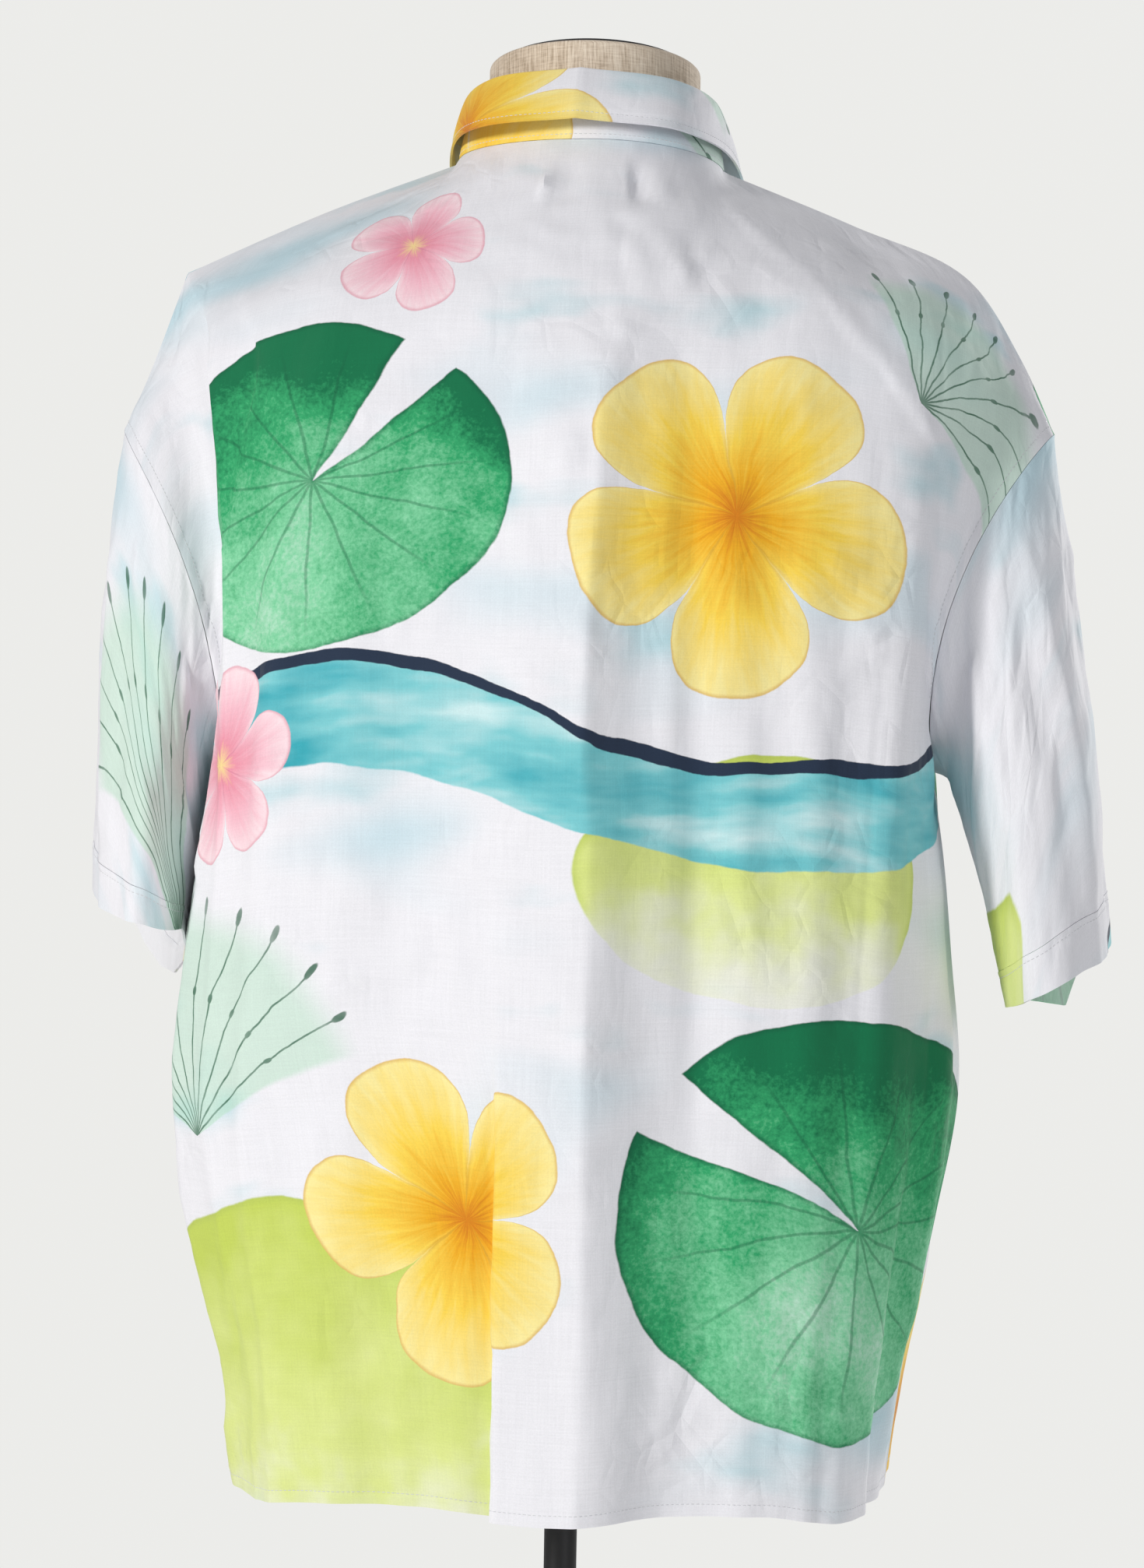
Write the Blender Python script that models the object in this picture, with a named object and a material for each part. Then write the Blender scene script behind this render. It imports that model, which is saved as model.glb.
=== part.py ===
"""Wide short-sleeved shirt with a turned-down collar, worn by a limbless dress form on a round base.

Metres, +Z up. The shirt's front faces -Y, so +X is the wearer's left. The origin is the middle of the base's
underside. Every cloth piece is a wall between an outer and an inner layer, and its surface is worked out
from guide lines: short tables that say where one vertical line of the garment runs.
"""

import math
from collections import namedtuple

import bmesh
import bpy
import numpy as np

MM = 0.001

# Cloth
WALL = 1.2 * MM
CUFF_WALL = 1.8 * MM
COLLAR_WALL = 1.4 * MM
SEAM_INSET = 0.17 * MM
UNDERARM_INSET = 1.2 * MM
NECK_GAP = 0.9 * MM

# Rows and columns of the cloth's mesh
ROWS_BELOW_ARMHOLE = 13
ROWS_ALONG_ARMHOLE = 12
COLUMNS_TO_NECK_POINT = 5
COLUMNS_TO_RIDGE = 7
COLUMNS_TO_EDGE = 4
SLEEVE_ROWS = 9
COLLAR_COLUMNS = 36

# Places along a half panel, as a share of its width from the middle line to the side edge
NECK_U, BLADE_U, RIDGE_U, VALLEY_U = 0.28, 0.49, 0.70, 0.85
# Where the underarm lies, as a share of the panel's length from the hem to the shoulder
UNDERARM_V = 0.53
# Above this share of the length the row's shape turns into that of the neckline
NECKLINE_FROM_V = 0.80

# Armhole: the loop where the sleeve is sewn on, in its own tilted plane
ARMHOLE_TOP = (288 * MM, 1267 * MM)
ARMHOLE_UNDER = (217 * MM, 1062 * MM)
ARMHOLE_Y = -20 * MM
ARMHOLE_HALF_DEPTH = 60 * MM
ARMHOLE_BELLY = 22 * MM

# Collar: its fold line and lower edge lean to the wearer's left
FOLD_SHIFT = 3 * MM
EDGE_SHIFT = 3 * MM
COLLAR_TILT = 0.02
COLLAR_MIDDLE = (3 * MM, -70 * MM, 1460 * MM)

# Buttons
BUTTON_RADIUS = 6.5 * MM
BUTTON_THICKNESS = 2.4 * MM
BUTTON_COUNT = 6
BUTTON_FIRST_V = 0.945
BUTTON_LAST_V = 0.25
BUTTON_SIDES = 16
BUTTON_CLEARANCE = 0.4 * MM
# Rings of a button: share of its radius, share of its thickness
BUTTON_PROFILE = [(0.80, 0.0), (1.0, 0.35), (1.0, 0.70), (0.90, 1.0), (0.72, 0.95), (0.60, 0.70)]

# The left front laps over the right one by one column on each side of the middle line
OVERLAP_LIFT = 1.5 * MM
OVERLAP_FADE = 2.5

# Dress form
NECK_RADIUS = 66.5 * MM
NECK_X = 3 * MM
NECK_Y = -73 * MM
NECK_FOOT_SLOPE = 0.22
NECK_TOP_Z = 1499 * MM
NECK_TOP_SLOPE = 0.12
CAP_THICKNESS = 3 * MM
CAP_INSET = 7 * MM
POLE_RADIUS = 10 * MM
TORSO_BOTTOM_Z = 700 * MM
BASE_RADIUS = 165 * MM
BASE_THICKNESS = 10 * MM
HUB_RADIUS = 22 * MM
HUB_TOP_Z = 40 * MM
TOUCH_GAP = 0.3 * MM

Guide = namedtuple("Guide", "v x y z")
Fold = namedtuple("Fold", "u_hem u_top half_width depth_hem depth_top top_v")
Station = namedtuple("Station", "s x_outer z_outer x_inner z_inner y_mid half_depth belly rise twist_deg")
Loop = namedtuple("Loop", "t x y z")
Ring = namedtuple("Ring", "z half_width y_front y_back power slope x_mid", defaults=(0.0, 0.0))

# Guide lines in millimetres, from the hem (v = 0) up to the shoulder and neck (v = 1)
CENTRE_BACK = [
    Guide(0.0, 0, 128, 626),
    Guide(0.1, 0, 130, 708),
    Guide(0.2, 0, 131, 790),
    Guide(0.3, 0, 130, 870),
    Guide(0.4, 0, 128, 952),
    Guide(0.5, 0, 125, 1034),
    Guide(0.6, 0, 121, 1115),
    Guide(0.7, 0, 114, 1195),
    Guide(0.8, 0, 103, 1275),
    Guide(0.9, 0, 74, 1358),
    Guide(1.0, 0, 8, 1443),
]
CENTRE_FRONT = [
    Guide(0.0, 0, -168, 630),
    Guide(0.2, 0, -164, 785),
    Guide(0.4, 0, -160, 940),
    Guide(0.6, 0, -158, 1092),
    Guide(0.8, 0, -157, 1244),
    Guide(0.9, 0, -155, 1318),
    Guide(1.0, 0, -151, 1392),
]
NECK_LINE_BACK = {
    "left": [
        Guide(0.0, 86, 120, 629),
        Guide(0.3, 96, 122, 870),
        Guide(0.5, 98, 118, 1034),
        Guide(0.7, 98, 108, 1195),
        Guide(0.8, 97, 96, 1276),
        Guide(0.9, 94, 58, 1361),
        Guide(0.95, 90, 8, 1408),
        Guide(1.0, 86, -62, 1440),
    ],
    "right": [
        Guide(0.0, 84, 120, 629),
        Guide(0.3, 94, 122, 870),
        Guide(0.5, 96, 118, 1034),
        Guide(0.7, 96, 108, 1195),
        Guide(0.8, 94, 96, 1274),
        Guide(0.9, 88, 58, 1357),
        Guide(0.95, 84, 8, 1402),
        Guide(1.0, 80, -62, 1434),
    ],
}
NECK_LINE_FRONT = {
    "left": [
        Guide(0.0, 86, -160, 630),
        Guide(0.3, 96, -154, 868),
        Guide(0.5, 98, -152, 1028),
        Guide(0.7, 99, -149, 1180),
        Guide(0.8, 98, -145, 1262),
        Guide(0.9, 94, -133, 1350),
        Guide(0.95, 90, -112, 1399),
        Guide(1.0, 86, -62, 1440),
    ],
    "right": [
        Guide(0.0, 84, -160, 630),
        Guide(0.3, 94, -154, 868),
        Guide(0.5, 96, -152, 1028),
        Guide(0.7, 97, -149, 1180),
        Guide(0.8, 95, -145, 1260),
        Guide(0.9, 88, -133, 1347),
        Guide(0.95, 84, -112, 1395),
        Guide(1.0, 80, -62, 1434),
    ],
}
BLADE_BACK = {
    "left": [
        Guide(0.0, 132, 112, 627),
        Guide(0.3, 157, 110, 870),
        Guide(0.5, 158, 106, 1034),
        Guide(0.7, 160, 98, 1194),
        Guide(0.8, 162, 88, 1272),
        Guide(0.9, 165, 48, 1350),
        Guide(1.0, 169, -53, 1408),
    ],
    "right": [
        Guide(0.0, 134, 108, 628),
        Guide(0.3, 150, 110, 870),
        Guide(0.5, 155, 106, 1034),
        Guide(0.7, 158, 98, 1194),
        Guide(0.8, 158, 88, 1268),
        Guide(0.9, 160, 50, 1343),
        Guide(1.0, 162, -53, 1399),
    ],
}
BLADE_FRONT = {
    "left": [
        Guide(0.0, 132, -142, 630),
        Guide(0.3, 157, -136, 868),
        Guide(0.5, 158, -137, 1030),
        Guide(0.7, 161, -137, 1184),
        Guide(0.8, 163, -131, 1262),
        Guide(0.9, 166, -110, 1346),
        Guide(1.0, 169, -53, 1408),
    ],
    "right": [
        Guide(0.0, 130, -142, 630),
        Guide(0.3, 150, -136, 868),
        Guide(0.5, 154, -137, 1030),
        Guide(0.7, 157, -137, 1182),
        Guide(0.8, 158, -131, 1258),
        Guide(0.9, 160, -110, 1340),
        Guide(1.0, 162, -53, 1399),
    ],
}
RIDGE_BACK = {
    "left": [
        Guide(0.0, 173, 88, 622),
        Guide(0.1, 181, 89, 706),
        Guide(0.2, 199, 86, 789),
        Guide(0.3, 208, 84, 870),
        Guide(0.4, 205, 82, 952),
        Guide(0.5, 204, 80, 1034),
        Guide(0.6, 203, 78, 1115),
        Guide(0.7, 207, 76, 1192),
        Guide(0.8, 214, 66, 1262),
        Guide(0.9, 229, 32, 1325),
        Guide(1.0, 256, -42, 1368),
    ],
    "right": [
        Guide(0.0, 174, 86, 622),
        Guide(0.1, 178, 87, 706),
        Guide(0.2, 188, 86, 789),
        Guide(0.3, 198, 84, 870),
        Guide(0.4, 200, 82, 952),
        Guide(0.5, 204, 80, 1034),
        Guide(0.6, 209, 78, 1115),
        Guide(0.7, 212, 76, 1190),
        Guide(0.8, 213, 68, 1256),
        Guide(0.9, 219, 36, 1320),
        Guide(1.0, 235, -42, 1363),
    ],
}
RIDGE_FRONT = {
    "left": [
        Guide(0.0, 174, -112, 630),
        Guide(0.3, 210, -108, 868),
        Guide(0.5, 204, -111, 1030),
        Guide(0.6, 203, -115, 1110),
        Guide(0.7, 206, -117, 1185),
        Guide(0.8, 214, -112, 1255),
        Guide(0.9, 231, -88, 1322),
        Guide(1.0, 256, -42, 1368),
    ],
    "right": [
        Guide(0.0, 172, -112, 630),
        Guide(0.3, 200, -108, 868),
        Guide(0.5, 203, -111, 1030),
        Guide(0.6, 206, -115, 1110),
        Guide(0.7, 208, -117, 1185),
        Guide(0.8, 212, -112, 1252),
        Guide(0.9, 220, -90, 1316),
        Guide(1.0, 235, -42, 1363),
    ],
}
VALLEY_BACK = {
    "left": [
        Guide(0.0, 194, 42, 624),
        Guide(0.3, 236, 42, 870),
        Guide(0.5, 220, 38, 1034),
        Guide(0.6, 212, 42, 1113),
        Guide(0.7, 215, 36, 1172),
        Guide(0.8, 227, 26, 1234),
        Guide(0.9, 248, 4, 1292),
        Guide(1.0, 272, -35, 1318),
    ],
    "right": [
        Guide(0.0, 189, 44, 624),
        Guide(0.3, 226, 42, 870),
        Guide(0.5, 217, 40, 1034),
        Guide(0.6, 214, 46, 1113),
        Guide(0.7, 220, 46, 1172),
        Guide(0.8, 235, 40, 1234),
        Guide(0.9, 248, 14, 1290),
        Guide(1.0, 266, -35, 1316),
    ],
}
VALLEY_FRONT = {
    "left": [
        Guide(0.0, 195, -64, 630),
        Guide(0.3, 237, -58, 868),
        Guide(0.5, 221, -66, 1032),
        Guide(0.6, 213, -80, 1111),
        Guide(0.7, 217, -82, 1166),
        Guide(0.8, 230, -78, 1230),
        Guide(0.9, 250, -62, 1290),
        Guide(1.0, 272, -35, 1318),
    ],
    "right": [
        Guide(0.0, 190, -64, 630),
        Guide(0.3, 227, -58, 868),
        Guide(0.5, 218, -66, 1032),
        Guide(0.6, 214, -80, 1111),
        Guide(0.7, 219, -84, 1166),
        Guide(0.8, 232, -80, 1230),
        Guide(0.9, 246, -62, 1288),
        Guide(1.0, 266, -35, 1316),
    ],
}
SIDE_SEAM = {
    "left": [
        Guide(0.0, 204, -8, 627),
        Guide(0.1, 213, -8, 708),
        Guide(0.2, 237, -8, 790),
        Guide(0.3, 247, -9, 870),
        Guide(0.4, 240, -11, 952),
        Guide(0.47, 229, -15, 1012),
        Guide(UNDERARM_V, 217, -20, 1062),
    ],
    "right": [
        Guide(0.0, 196, -8, 628),
        Guide(0.1, 207, -8, 708),
        Guide(0.2, 224, -8, 790),
        Guide(0.3, 237, -9, 870),
        Guide(0.4, 231, -11, 952),
        Guide(0.47, 225, -15, 1012),
        Guide(UNDERARM_V, 217, -20, 1062),
    ],
}
# A creased side turns sharply at the ridge
CREASED = {"left": True, "right": False}
# Angle round the armhole from its top, in degrees, at each height of the panel's edge
ARMHOLE_BY_V = [(UNDERARM_V, 180), (0.60, 125), (0.70, 93), (0.80, 60), (0.90, 30), (1.0, 0)]

# Folds: u is negative on the wearer's right, and a depth above 0 stands out
BACK_FOLDS = [
    Fold(-0.04, -0.02, 0.15, 0.022, 0.006, 0.88),
    Fold(0.17, 0.15, 0.13, -0.008, -0.002, 0.70),
    Fold(-0.27, -0.20, 0.16, -0.018, -0.008, 0.90),
    Fold(-0.50, -0.42, 0.13, 0.010, 0.005, 0.86),
    Fold(-0.66, -0.62, 0.11, -0.009, -0.003, 0.62),
    Fold(0.38, 0.34, 0.15, -0.008, -0.005, 0.82),
    Fold(0.58, 0.54, 0.12, 0.009, 0.005, 0.80),
    Fold(0.80, 0.76, 0.10, -0.006, 0.000, 0.45),
]
FRONT_FOLDS = [
    Fold(0.24, 0.20, 0.13, 0.016, 0.005, 0.85),
    Fold(0.45, 0.36, 0.12, -0.018, -0.006, 0.85),
    Fold(0.66, 0.56, 0.10, 0.012, 0.004, 0.80),
    Fold(-0.22, -0.20, 0.13, 0.013, 0.004, 0.85),
    Fold(-0.43, -0.34, 0.13, -0.020, -0.007, 0.85),
    Fold(-0.66, -0.58, 0.10, 0.013, 0.005, 0.80),
]

# Sleeve sections in millimetres, from the armhole (s = 0) to the opening (s = 1)
SLEEVE = {
    "left": [
        Station(0.0, 288, 1267, 217, 1062, -20, 60, 22, 0, 0),
        Station(0.1, 292, 1240, 229, 1056, -20, 62, 19, -2, 2),
        Station(0.2, 296, 1212, 232, 1044, -21, 66, 15, -4, 4),
        Station(0.4, 301, 1150, 236, 1021, -23, 72, 8, -12, 8),
        Station(0.6, 304, 1088, 240, 998, -25, 78, 4, -20, 11),
        Station(0.8, 306, 1026, 243, 975, -26, 84, 2, -28, 13),
        Station(1.0, 307, 962, 246, 946, -27, 88, 0, -34, 14),
    ],
    "right": [
        Station(0.0, 288, 1267, 217, 1062, -20, 60, 22, 0, 0),
        Station(0.1, 292, 1238, 229, 1057, -20, 62, 19, -1, 0),
        Station(0.2, 297, 1208, 233, 1046, -20, 66, 15, -2, 0),
        Station(0.4, 306, 1150, 238, 1027, -20, 72, 8, -4, 1),
        Station(0.6, 315, 1090, 247, 1000, -20, 78, 4, -7, 2),
        Station(0.8, 322, 1025, 256, 965, -20, 84, 2, -10, 3),
        Station(1.0, 327, 958, 266, 923, -20, 88, 0, -14, 4),
    ],
}
CUFF_SHARE = 0.905

# Collar lines in millimetres, from the centre back (t = 0) to the front end (t = 1)
FOLD_LINE = [
    Loop(0.0, 0, 0, 1486),
    Loop(0.25, 56, -19, 1482),
    Loop(0.5, 77, -70, 1472),
    Loop(0.75, 57, -124, 1444),
    Loop(1.0, 4, -148, 1417),
]
FALL_EDGE = [
    Loop(0.0, 0, 25, 1453),
    Loop(0.25, 63, 8, 1449),
    Loop(0.5, 91, -72, 1441),
    Loop(0.75, 87, -130, 1406),
    Loop(0.9, 66, -155, 1371),
    Loop(1.0, 42, -165, 1348),
]
# Rows of the collar fall: the roll over the fold line, then the share of the way down to the edge
FALL_ROLL = [(-1.2, 1.3), (1.6, 1.5), (3.8, -0.4)]
FALL_SHARES = [0.28, 0.64, 1.0]
FALL_BULGE = 1.5 * MM

# Dress form sections in millimetres, from the hips up to the foot of the neck
TORSO = [
    Ring(700, 150, -102, 78, 2.3),
    Ring(712, 164, -114, 88, 2.3),
    Ring(760, 171, -120, 92, 2.3),
    Ring(820, 170, -120, 91, 2.3),
    Ring(900, 157, -112, 86, 2.3),
    Ring(980, 149, -108, 82, 2.3),
    Ring(1060, 157, -119, 84, 2.3),
    Ring(1120, 170, -126, 87, 2.3),
    Ring(1180, 182, -127, 85, 2.2),
    Ring(1220, 193, -125, 80, 2.1),
    Ring(1260, 203, -120, 71, 2.0),
    Ring(1295, 209, -113, 58, 2.0, 0.0, 2),
    Ring(1325, 212, -107, 44, 2.0, 0.0, 9),
    Ring(1352, 208, -103, 30, 2.0, 0.02, 12),
    Ring(1370.5, 196, -102, 21, 2.0, 0.05, 12),
    Ring(1385.5, 174, -105, 14, 2.0, 0.09, 12),
    Ring(1399.4, 143, -112, 8, 2.0, 0.14, 12),
    Ring(1408.6, 108, -123, 3, 2.0, 0.19, 6),
    Ring(1416.6, 86, -134, 0, 2.0, 0.21, 5),
    Ring(1421.6, 73, -143, -3, 2.0, NECK_FOOT_SLOPE, 3),
]
TORSO_SIDES = 36
ROUND_SIDES = 36


def blend_rows(keys, values, t):
    """Smooth curve through the rows: a cubic between neighbours, with slopes from the rows on either side."""
    keys = np.asarray(keys, float)
    values = np.asarray(values, float)
    steps = np.diff(keys)
    chords = np.diff(values, axis=0) / steps[:, None]
    slopes = np.empty_like(values)
    slopes[0], slopes[-1] = chords[0], chords[-1]
    for i in range(1, len(keys) - 1):
        slopes[i] = (chords[i - 1] * steps[i] + chords[i] * steps[i - 1]) / (steps[i - 1] + steps[i])
    t = np.atleast_1d(np.asarray(t, float))
    i = np.clip(np.searchsorted(keys, t, side="right") - 1, 0, len(keys) - 2)
    h = steps[i]
    x = ((t - keys[i]) / h)[:, None]
    h = h[:, None]
    return (
        (1 + 2 * x) * (1 - x) ** 2 * values[i]
        + x * (1 - x) ** 2 * h * slopes[i]
        + x**2 * (3 - 2 * x) * values[i + 1]
        + x**2 * (x - 1) * h * slopes[i + 1]
    )


def smoothstep(low, high, t):
    x = np.clip((t - low) / (high - low), 0.0, 1.0)
    return x * x * (3 - 2 * x)


def along(guide, v):
    """The point of a guide line at height v, in metres, on the wearer's left."""
    rows = np.array([[g.x, g.y, g.z] for g in guide]) * MM
    return blend_rows([g.v for g in guide], rows, v)[0]


def armhole_point(angle_deg, facing):
    """A point of the armhole on the wearer's left: 0 is its top, 180 the underarm, facing +1 the back."""
    angle = math.radians(angle_deg)
    top, under = np.array(ARMHOLE_TOP), np.array(ARMHOLE_UNDER)
    middle, reach = (top + under) / 2, (top - under) / 2
    x, z = middle + reach * math.cos(angle)
    x -= ARMHOLE_BELLY * math.sin(angle) ** 2
    y = ARMHOLE_Y + facing * ARMHOLE_HALF_DEPTH * math.sin(angle)
    return np.array([x, y, z])


def armhole_angle(v):
    keys = [row[0] for row in ARMHOLE_BY_V]
    angles = [[row[1]] for row in ARMHOLE_BY_V]
    return float(blend_rows(keys, angles, v)[0, 0])


def edge_point(side, facing, v):
    """The side edge of a panel: the side seam up to the underarm, and the armhole above it."""
    if v <= UNDERARM_V:
        return along(SIDE_SEAM[side], v)
    return armhole_point(armhole_angle(v), facing)


def neckline(centre, side_point, share):
    """A point of the neckline's quarter round, from the centre (share 0) to the side (share 1)."""
    turn = share * math.pi / 2
    point = side_point + (centre - side_point) * math.cos(turn)
    point[0] = side_point[0] * math.sin(turn)
    return point


def half_row(side, facing, v, u_values):
    """Points of one row of a half panel at height v, on the wearer's left, for u from 0 to 1."""
    back = facing > 0
    centre = along(CENTRE_BACK if back else CENTRE_FRONT, v)
    neck = along((NECK_LINE_BACK if back else NECK_LINE_FRONT)[side], v)
    blade = along((BLADE_BACK if back else BLADE_FRONT)[side], v)
    ridge = along((RIDGE_BACK if back else RIDGE_FRONT)[side], v)
    valley = along((VALLEY_BACK if back else VALLEY_FRONT)[side], v)
    edge = edge_point(side, facing, v)
    if CREASED[side]:
        spans = [
            ([NECK_U, BLADE_U, RIDGE_U], [neck, blade, ridge]),
            ([RIDGE_U, VALLEY_U, 1.0], [ridge, valley, edge]),
        ]
    else:
        spans = [([NECK_U, BLADE_U, RIDGE_U, VALLEY_U, 1.0], [neck, blade, ridge, valley, edge])]
    slope_at_neck = (blend_rows(*spans[0], NECK_U + 0.001)[0] - neck) / 0.001
    slope_at_centre = np.array([(neck[0] - centre[0]) / NECK_U, 0.0, 0.0])
    points = []
    for u in u_values:
        if u >= NECK_U:
            span = spans[-1] if u > RIDGE_U else spans[0]
            points.append(blend_rows(*span, u)[0])
            continue
        x = u / NECK_U
        plain = (
            (1 + 2 * x) * (1 - x) ** 2 * centre
            + x * (1 - x) ** 2 * NECK_U * slope_at_centre
            + x**2 * (3 - 2 * x) * neck
            + x**2 * (x - 1) * NECK_U * slope_at_neck
        )
        weight = smoothstep(NECKLINE_FROM_V, 1.0, v)
        points.append(plain * (1 - weight) + neckline(centre, neck, x) * weight)
    return np.array(points)


def fold_depth(folds, u, v):
    """How far the folds lift the cloth at u, v. Each fold is a soft wave that fades towards its top."""
    depth = 0.0
    for f in folds:
        middle = f.u_hem + (f.u_top - f.u_hem) * v
        x = (u - middle) / f.half_width
        if abs(x) >= 1:
            continue
        strength = f.depth_top + (f.depth_hem - f.depth_top) * (1 - smoothstep(0.0, f.top_v, v))
        fade = 1 - smoothstep(f.top_v - 0.25, f.top_v, v)
        depth += strength * fade * 0.5 * (1 + math.cos(math.pi * x))
    return depth


def panel_grid(facing, u_values, v_values):
    """Points of a whole panel, rows by v and columns by u from -1 (wearer's right) to 1 (wearer's left)."""
    rows = []
    for v in v_values:
        left = half_row("left", facing, v, [max(u, 0.0) for u in u_values])
        right = half_row("right", facing, v, [max(-u, 0.0) for u in u_values])
        right[:, 0] *= -1
        rows.append([left[i] if u >= 0 else right[i] for i, u in enumerate(u_values)])
    return np.array(rows)


def grid_normals(grid, facing=None, round_columns=False):
    """Unit normals of a grid of points, pointing out of the garment, or out of the ring for round columns."""
    if round_columns:
        across = np.roll(grid, -1, axis=1) - np.roll(grid, 1, axis=1)
    else:
        across = np.gradient(grid, axis=1)
    up = np.gradient(grid, axis=0)
    normals = np.cross(across, up)
    normals /= np.maximum(np.linalg.norm(normals, axis=2, keepdims=True), 1e-12)
    if round_columns:
        outward = grid - grid.mean(axis=1, keepdims=True)
        if (outward * normals).sum() < 0:
            normals = -normals
    elif (normals[..., 1].mean() > 0) != (facing > 0):
        normals = -normals
    return normals


def folded(grid, normals, folds, u_values, v_values):
    lift = np.array([[fold_depth(folds, u, v) for u in u_values] for v in v_values])
    return grid + normals * lift[..., None]


def moved_in(grid, axis, at_end, distance):
    """Moves a border row or column of a grid towards its neighbour, by one distance or one for each point."""
    edge, inner = (-1, -2) if at_end else (0, 1)
    border = grid[edge] if axis == 0 else grid[:, edge]
    step = (grid[inner] if axis == 0 else grid[:, inner]) - border
    step = step / np.maximum(np.linalg.norm(step, axis=-1, keepdims=True), 1e-12)
    border += step * np.reshape(distance, (-1, 1))


def material(name, colour, roughness, metallic=0.0):
    made = bpy.data.materials.new(name)
    made.use_nodes = True
    shader = made.node_tree.nodes["Principled BSDF"]
    shader.inputs["Base Color"].default_value = (*colour, 1.0)
    shader.inputs["Roughness"].default_value = roughness
    shader.inputs["Metallic"].default_value = metallic
    return made


def object_from(mesh_builder, name, paint, collection):
    mesh = bpy.data.meshes.new(name)
    bm = bmesh.new()
    mesh_builder(bm)
    bmesh.ops.recalc_face_normals(bm, faces=bm.faces)
    if bm.calc_volume(signed=True) < 0:
        bmesh.ops.reverse_faces(bm, faces=bm.faces)
    bm.to_mesh(mesh)
    bm.free()
    made = bpy.data.objects.new(name, mesh)
    mesh.materials.append(paint)
    mesh.shade_smooth()
    mesh.set_sharp_from_angle(angle=math.radians(40))
    collection.objects.link(made)
    return made


def wall(name, grid, normals, thickness, paint, collection, round_columns=False):
    """A closed wall of cloth: an outer and an inner layer of the grid, joined along the borders."""
    rows, columns = grid.shape[:2]

    def build(bm):
        layers = []
        for offset in (thickness / 2, -thickness / 2):
            layer = grid + normals * offset
            layers.append([[bm.verts.new(p) for p in row] for row in layer])
        outer, inner = layers
        last = columns if round_columns else columns - 1
        for i in range(rows - 1):
            for j in range(last):
                k = (j + 1) % columns
                rising = np.linalg.norm(grid[i + 1, k] - grid[i, j])
                falling = np.linalg.norm(grid[i + 1, j] - grid[i, k])
                corners = [(i, j), (i, k), (i + 1, k), (i + 1, j)]
                if falling < rising:
                    corners = corners[1:] + corners[:1]
                for a, b, c in ((0, 1, 2), (0, 2, 3)):
                    bm.faces.new([outer[corners[n][0]][corners[n][1]] for n in (a, b, c)])
                    bm.faces.new([inner[corners[n][0]][corners[n][1]] for n in (c, b, a)])
        for i, j in [(0, j) for j in range(last)] + [(rows - 1, j) for j in range(last)]:
            k = (j + 1) % columns
            bm.faces.new((outer[i][j], outer[i][k], inner[i][k], inner[i][j]))
        if not round_columns:
            for i in range(rows - 1):
                for j in (0, columns - 1):
                    bm.faces.new((outer[i][j], outer[i + 1][j], inner[i + 1][j], inner[i][j]))

    return object_from(build, name, paint, collection)


def loft(name, rings, paint, collection):
    """A closed solid through rings of points, with a flat face at each end."""

    def build(bm):
        made = [[bm.verts.new(p) for p in ring] for ring in rings]
        count = len(made[0])
        for low, high in zip(made, made[1:]):
            for j in range(count):
                k = (j + 1) % count
                bm.faces.new((low[j], low[k], high[k], high[j]))
        bm.faces.new(made[0][::-1])
        bm.faces.new(made[-1])

    return object_from(build, name, paint, collection)


def half_u_values():
    inner = np.linspace(0, NECK_U, COLUMNS_TO_NECK_POINT + 1)
    middle = np.linspace(NECK_U, RIDGE_U, COLUMNS_TO_RIDGE + 1)[1:]
    outer = np.linspace(RIDGE_U, 1.0, COLUMNS_TO_EDGE + 1)[1:]
    return np.concatenate([inner, middle, outer])


def v_levels():
    lower = np.linspace(0, UNDERARM_V, ROWS_BELOW_ARMHOLE + 1)
    upper = np.linspace(UNDERARM_V, 1.0, ROWS_ALONG_ARMHOLE + 1)[1:]
    return np.concatenate([lower, upper])


def sleeve_ring(side, s, angles):
    """One ring of a sleeve on the wearer's left. Each angle is (degrees from the top, facing)."""
    stations = SLEEVE[side]
    rows = [list(st[1:]) for st in stations]
    values = blend_rows([st.s for st in stations], rows, s)[0]
    x_outer, z_outer, x_inner, z_inner, y_mid, half_depth, belly, rise = values[:8] * MM
    twist = math.radians(values[8])
    ring = []
    for degrees, facing in angles:
        a = math.radians(degrees)
        share = (1 + math.cos(a)) / 2
        x = x_inner + (x_outer - x_inner) * share - belly * math.sin(a) ** 2
        z = z_inner + (z_outer - z_inner) * share
        reach = facing * half_depth * math.sin(a)
        y = y_mid + reach * math.cos(twist)
        ring.append((x - reach * math.sin(twist), y, z + rise / 2 * facing * math.sin(a)))
    return np.array(ring)


def sleeve_angles(v_values):
    """Places round the sleeve that match the rows of the back panel, then those of the front panel."""
    rows = [v for v in v_values if v >= UNDERARM_V - 1e-9]
    degrees = [armhole_angle(v) if v > UNDERARM_V else 180.0 for v in rows]
    back = [(d, 1) for d in degrees[::-1]]
    front = [(d, -1) for d in degrees[1:-1]]
    return back + front


def shared(first, second):
    mean = first + second
    return mean / np.linalg.norm(mean, axis=-1, keepdims=True)


def torso_ring(ring):
    middle, half_depth = (ring.y_front + ring.y_back) / 2 * MM, (ring.y_back - ring.y_front) / 2 * MM
    points = []
    for i in range(TORSO_SIDES):
        a = 2 * math.pi * i / TORSO_SIDES
        c, s = math.cos(a), math.sin(a)
        power = 2 / ring.power
        x = ring.x_mid * MM + ring.half_width * MM * math.copysign(abs(s) ** power, s)
        y = middle + half_depth * math.copysign(abs(c) ** power, c)
        points.append((x, y, ring.z * MM + (y - middle) * ring.slope))
    return points


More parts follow.
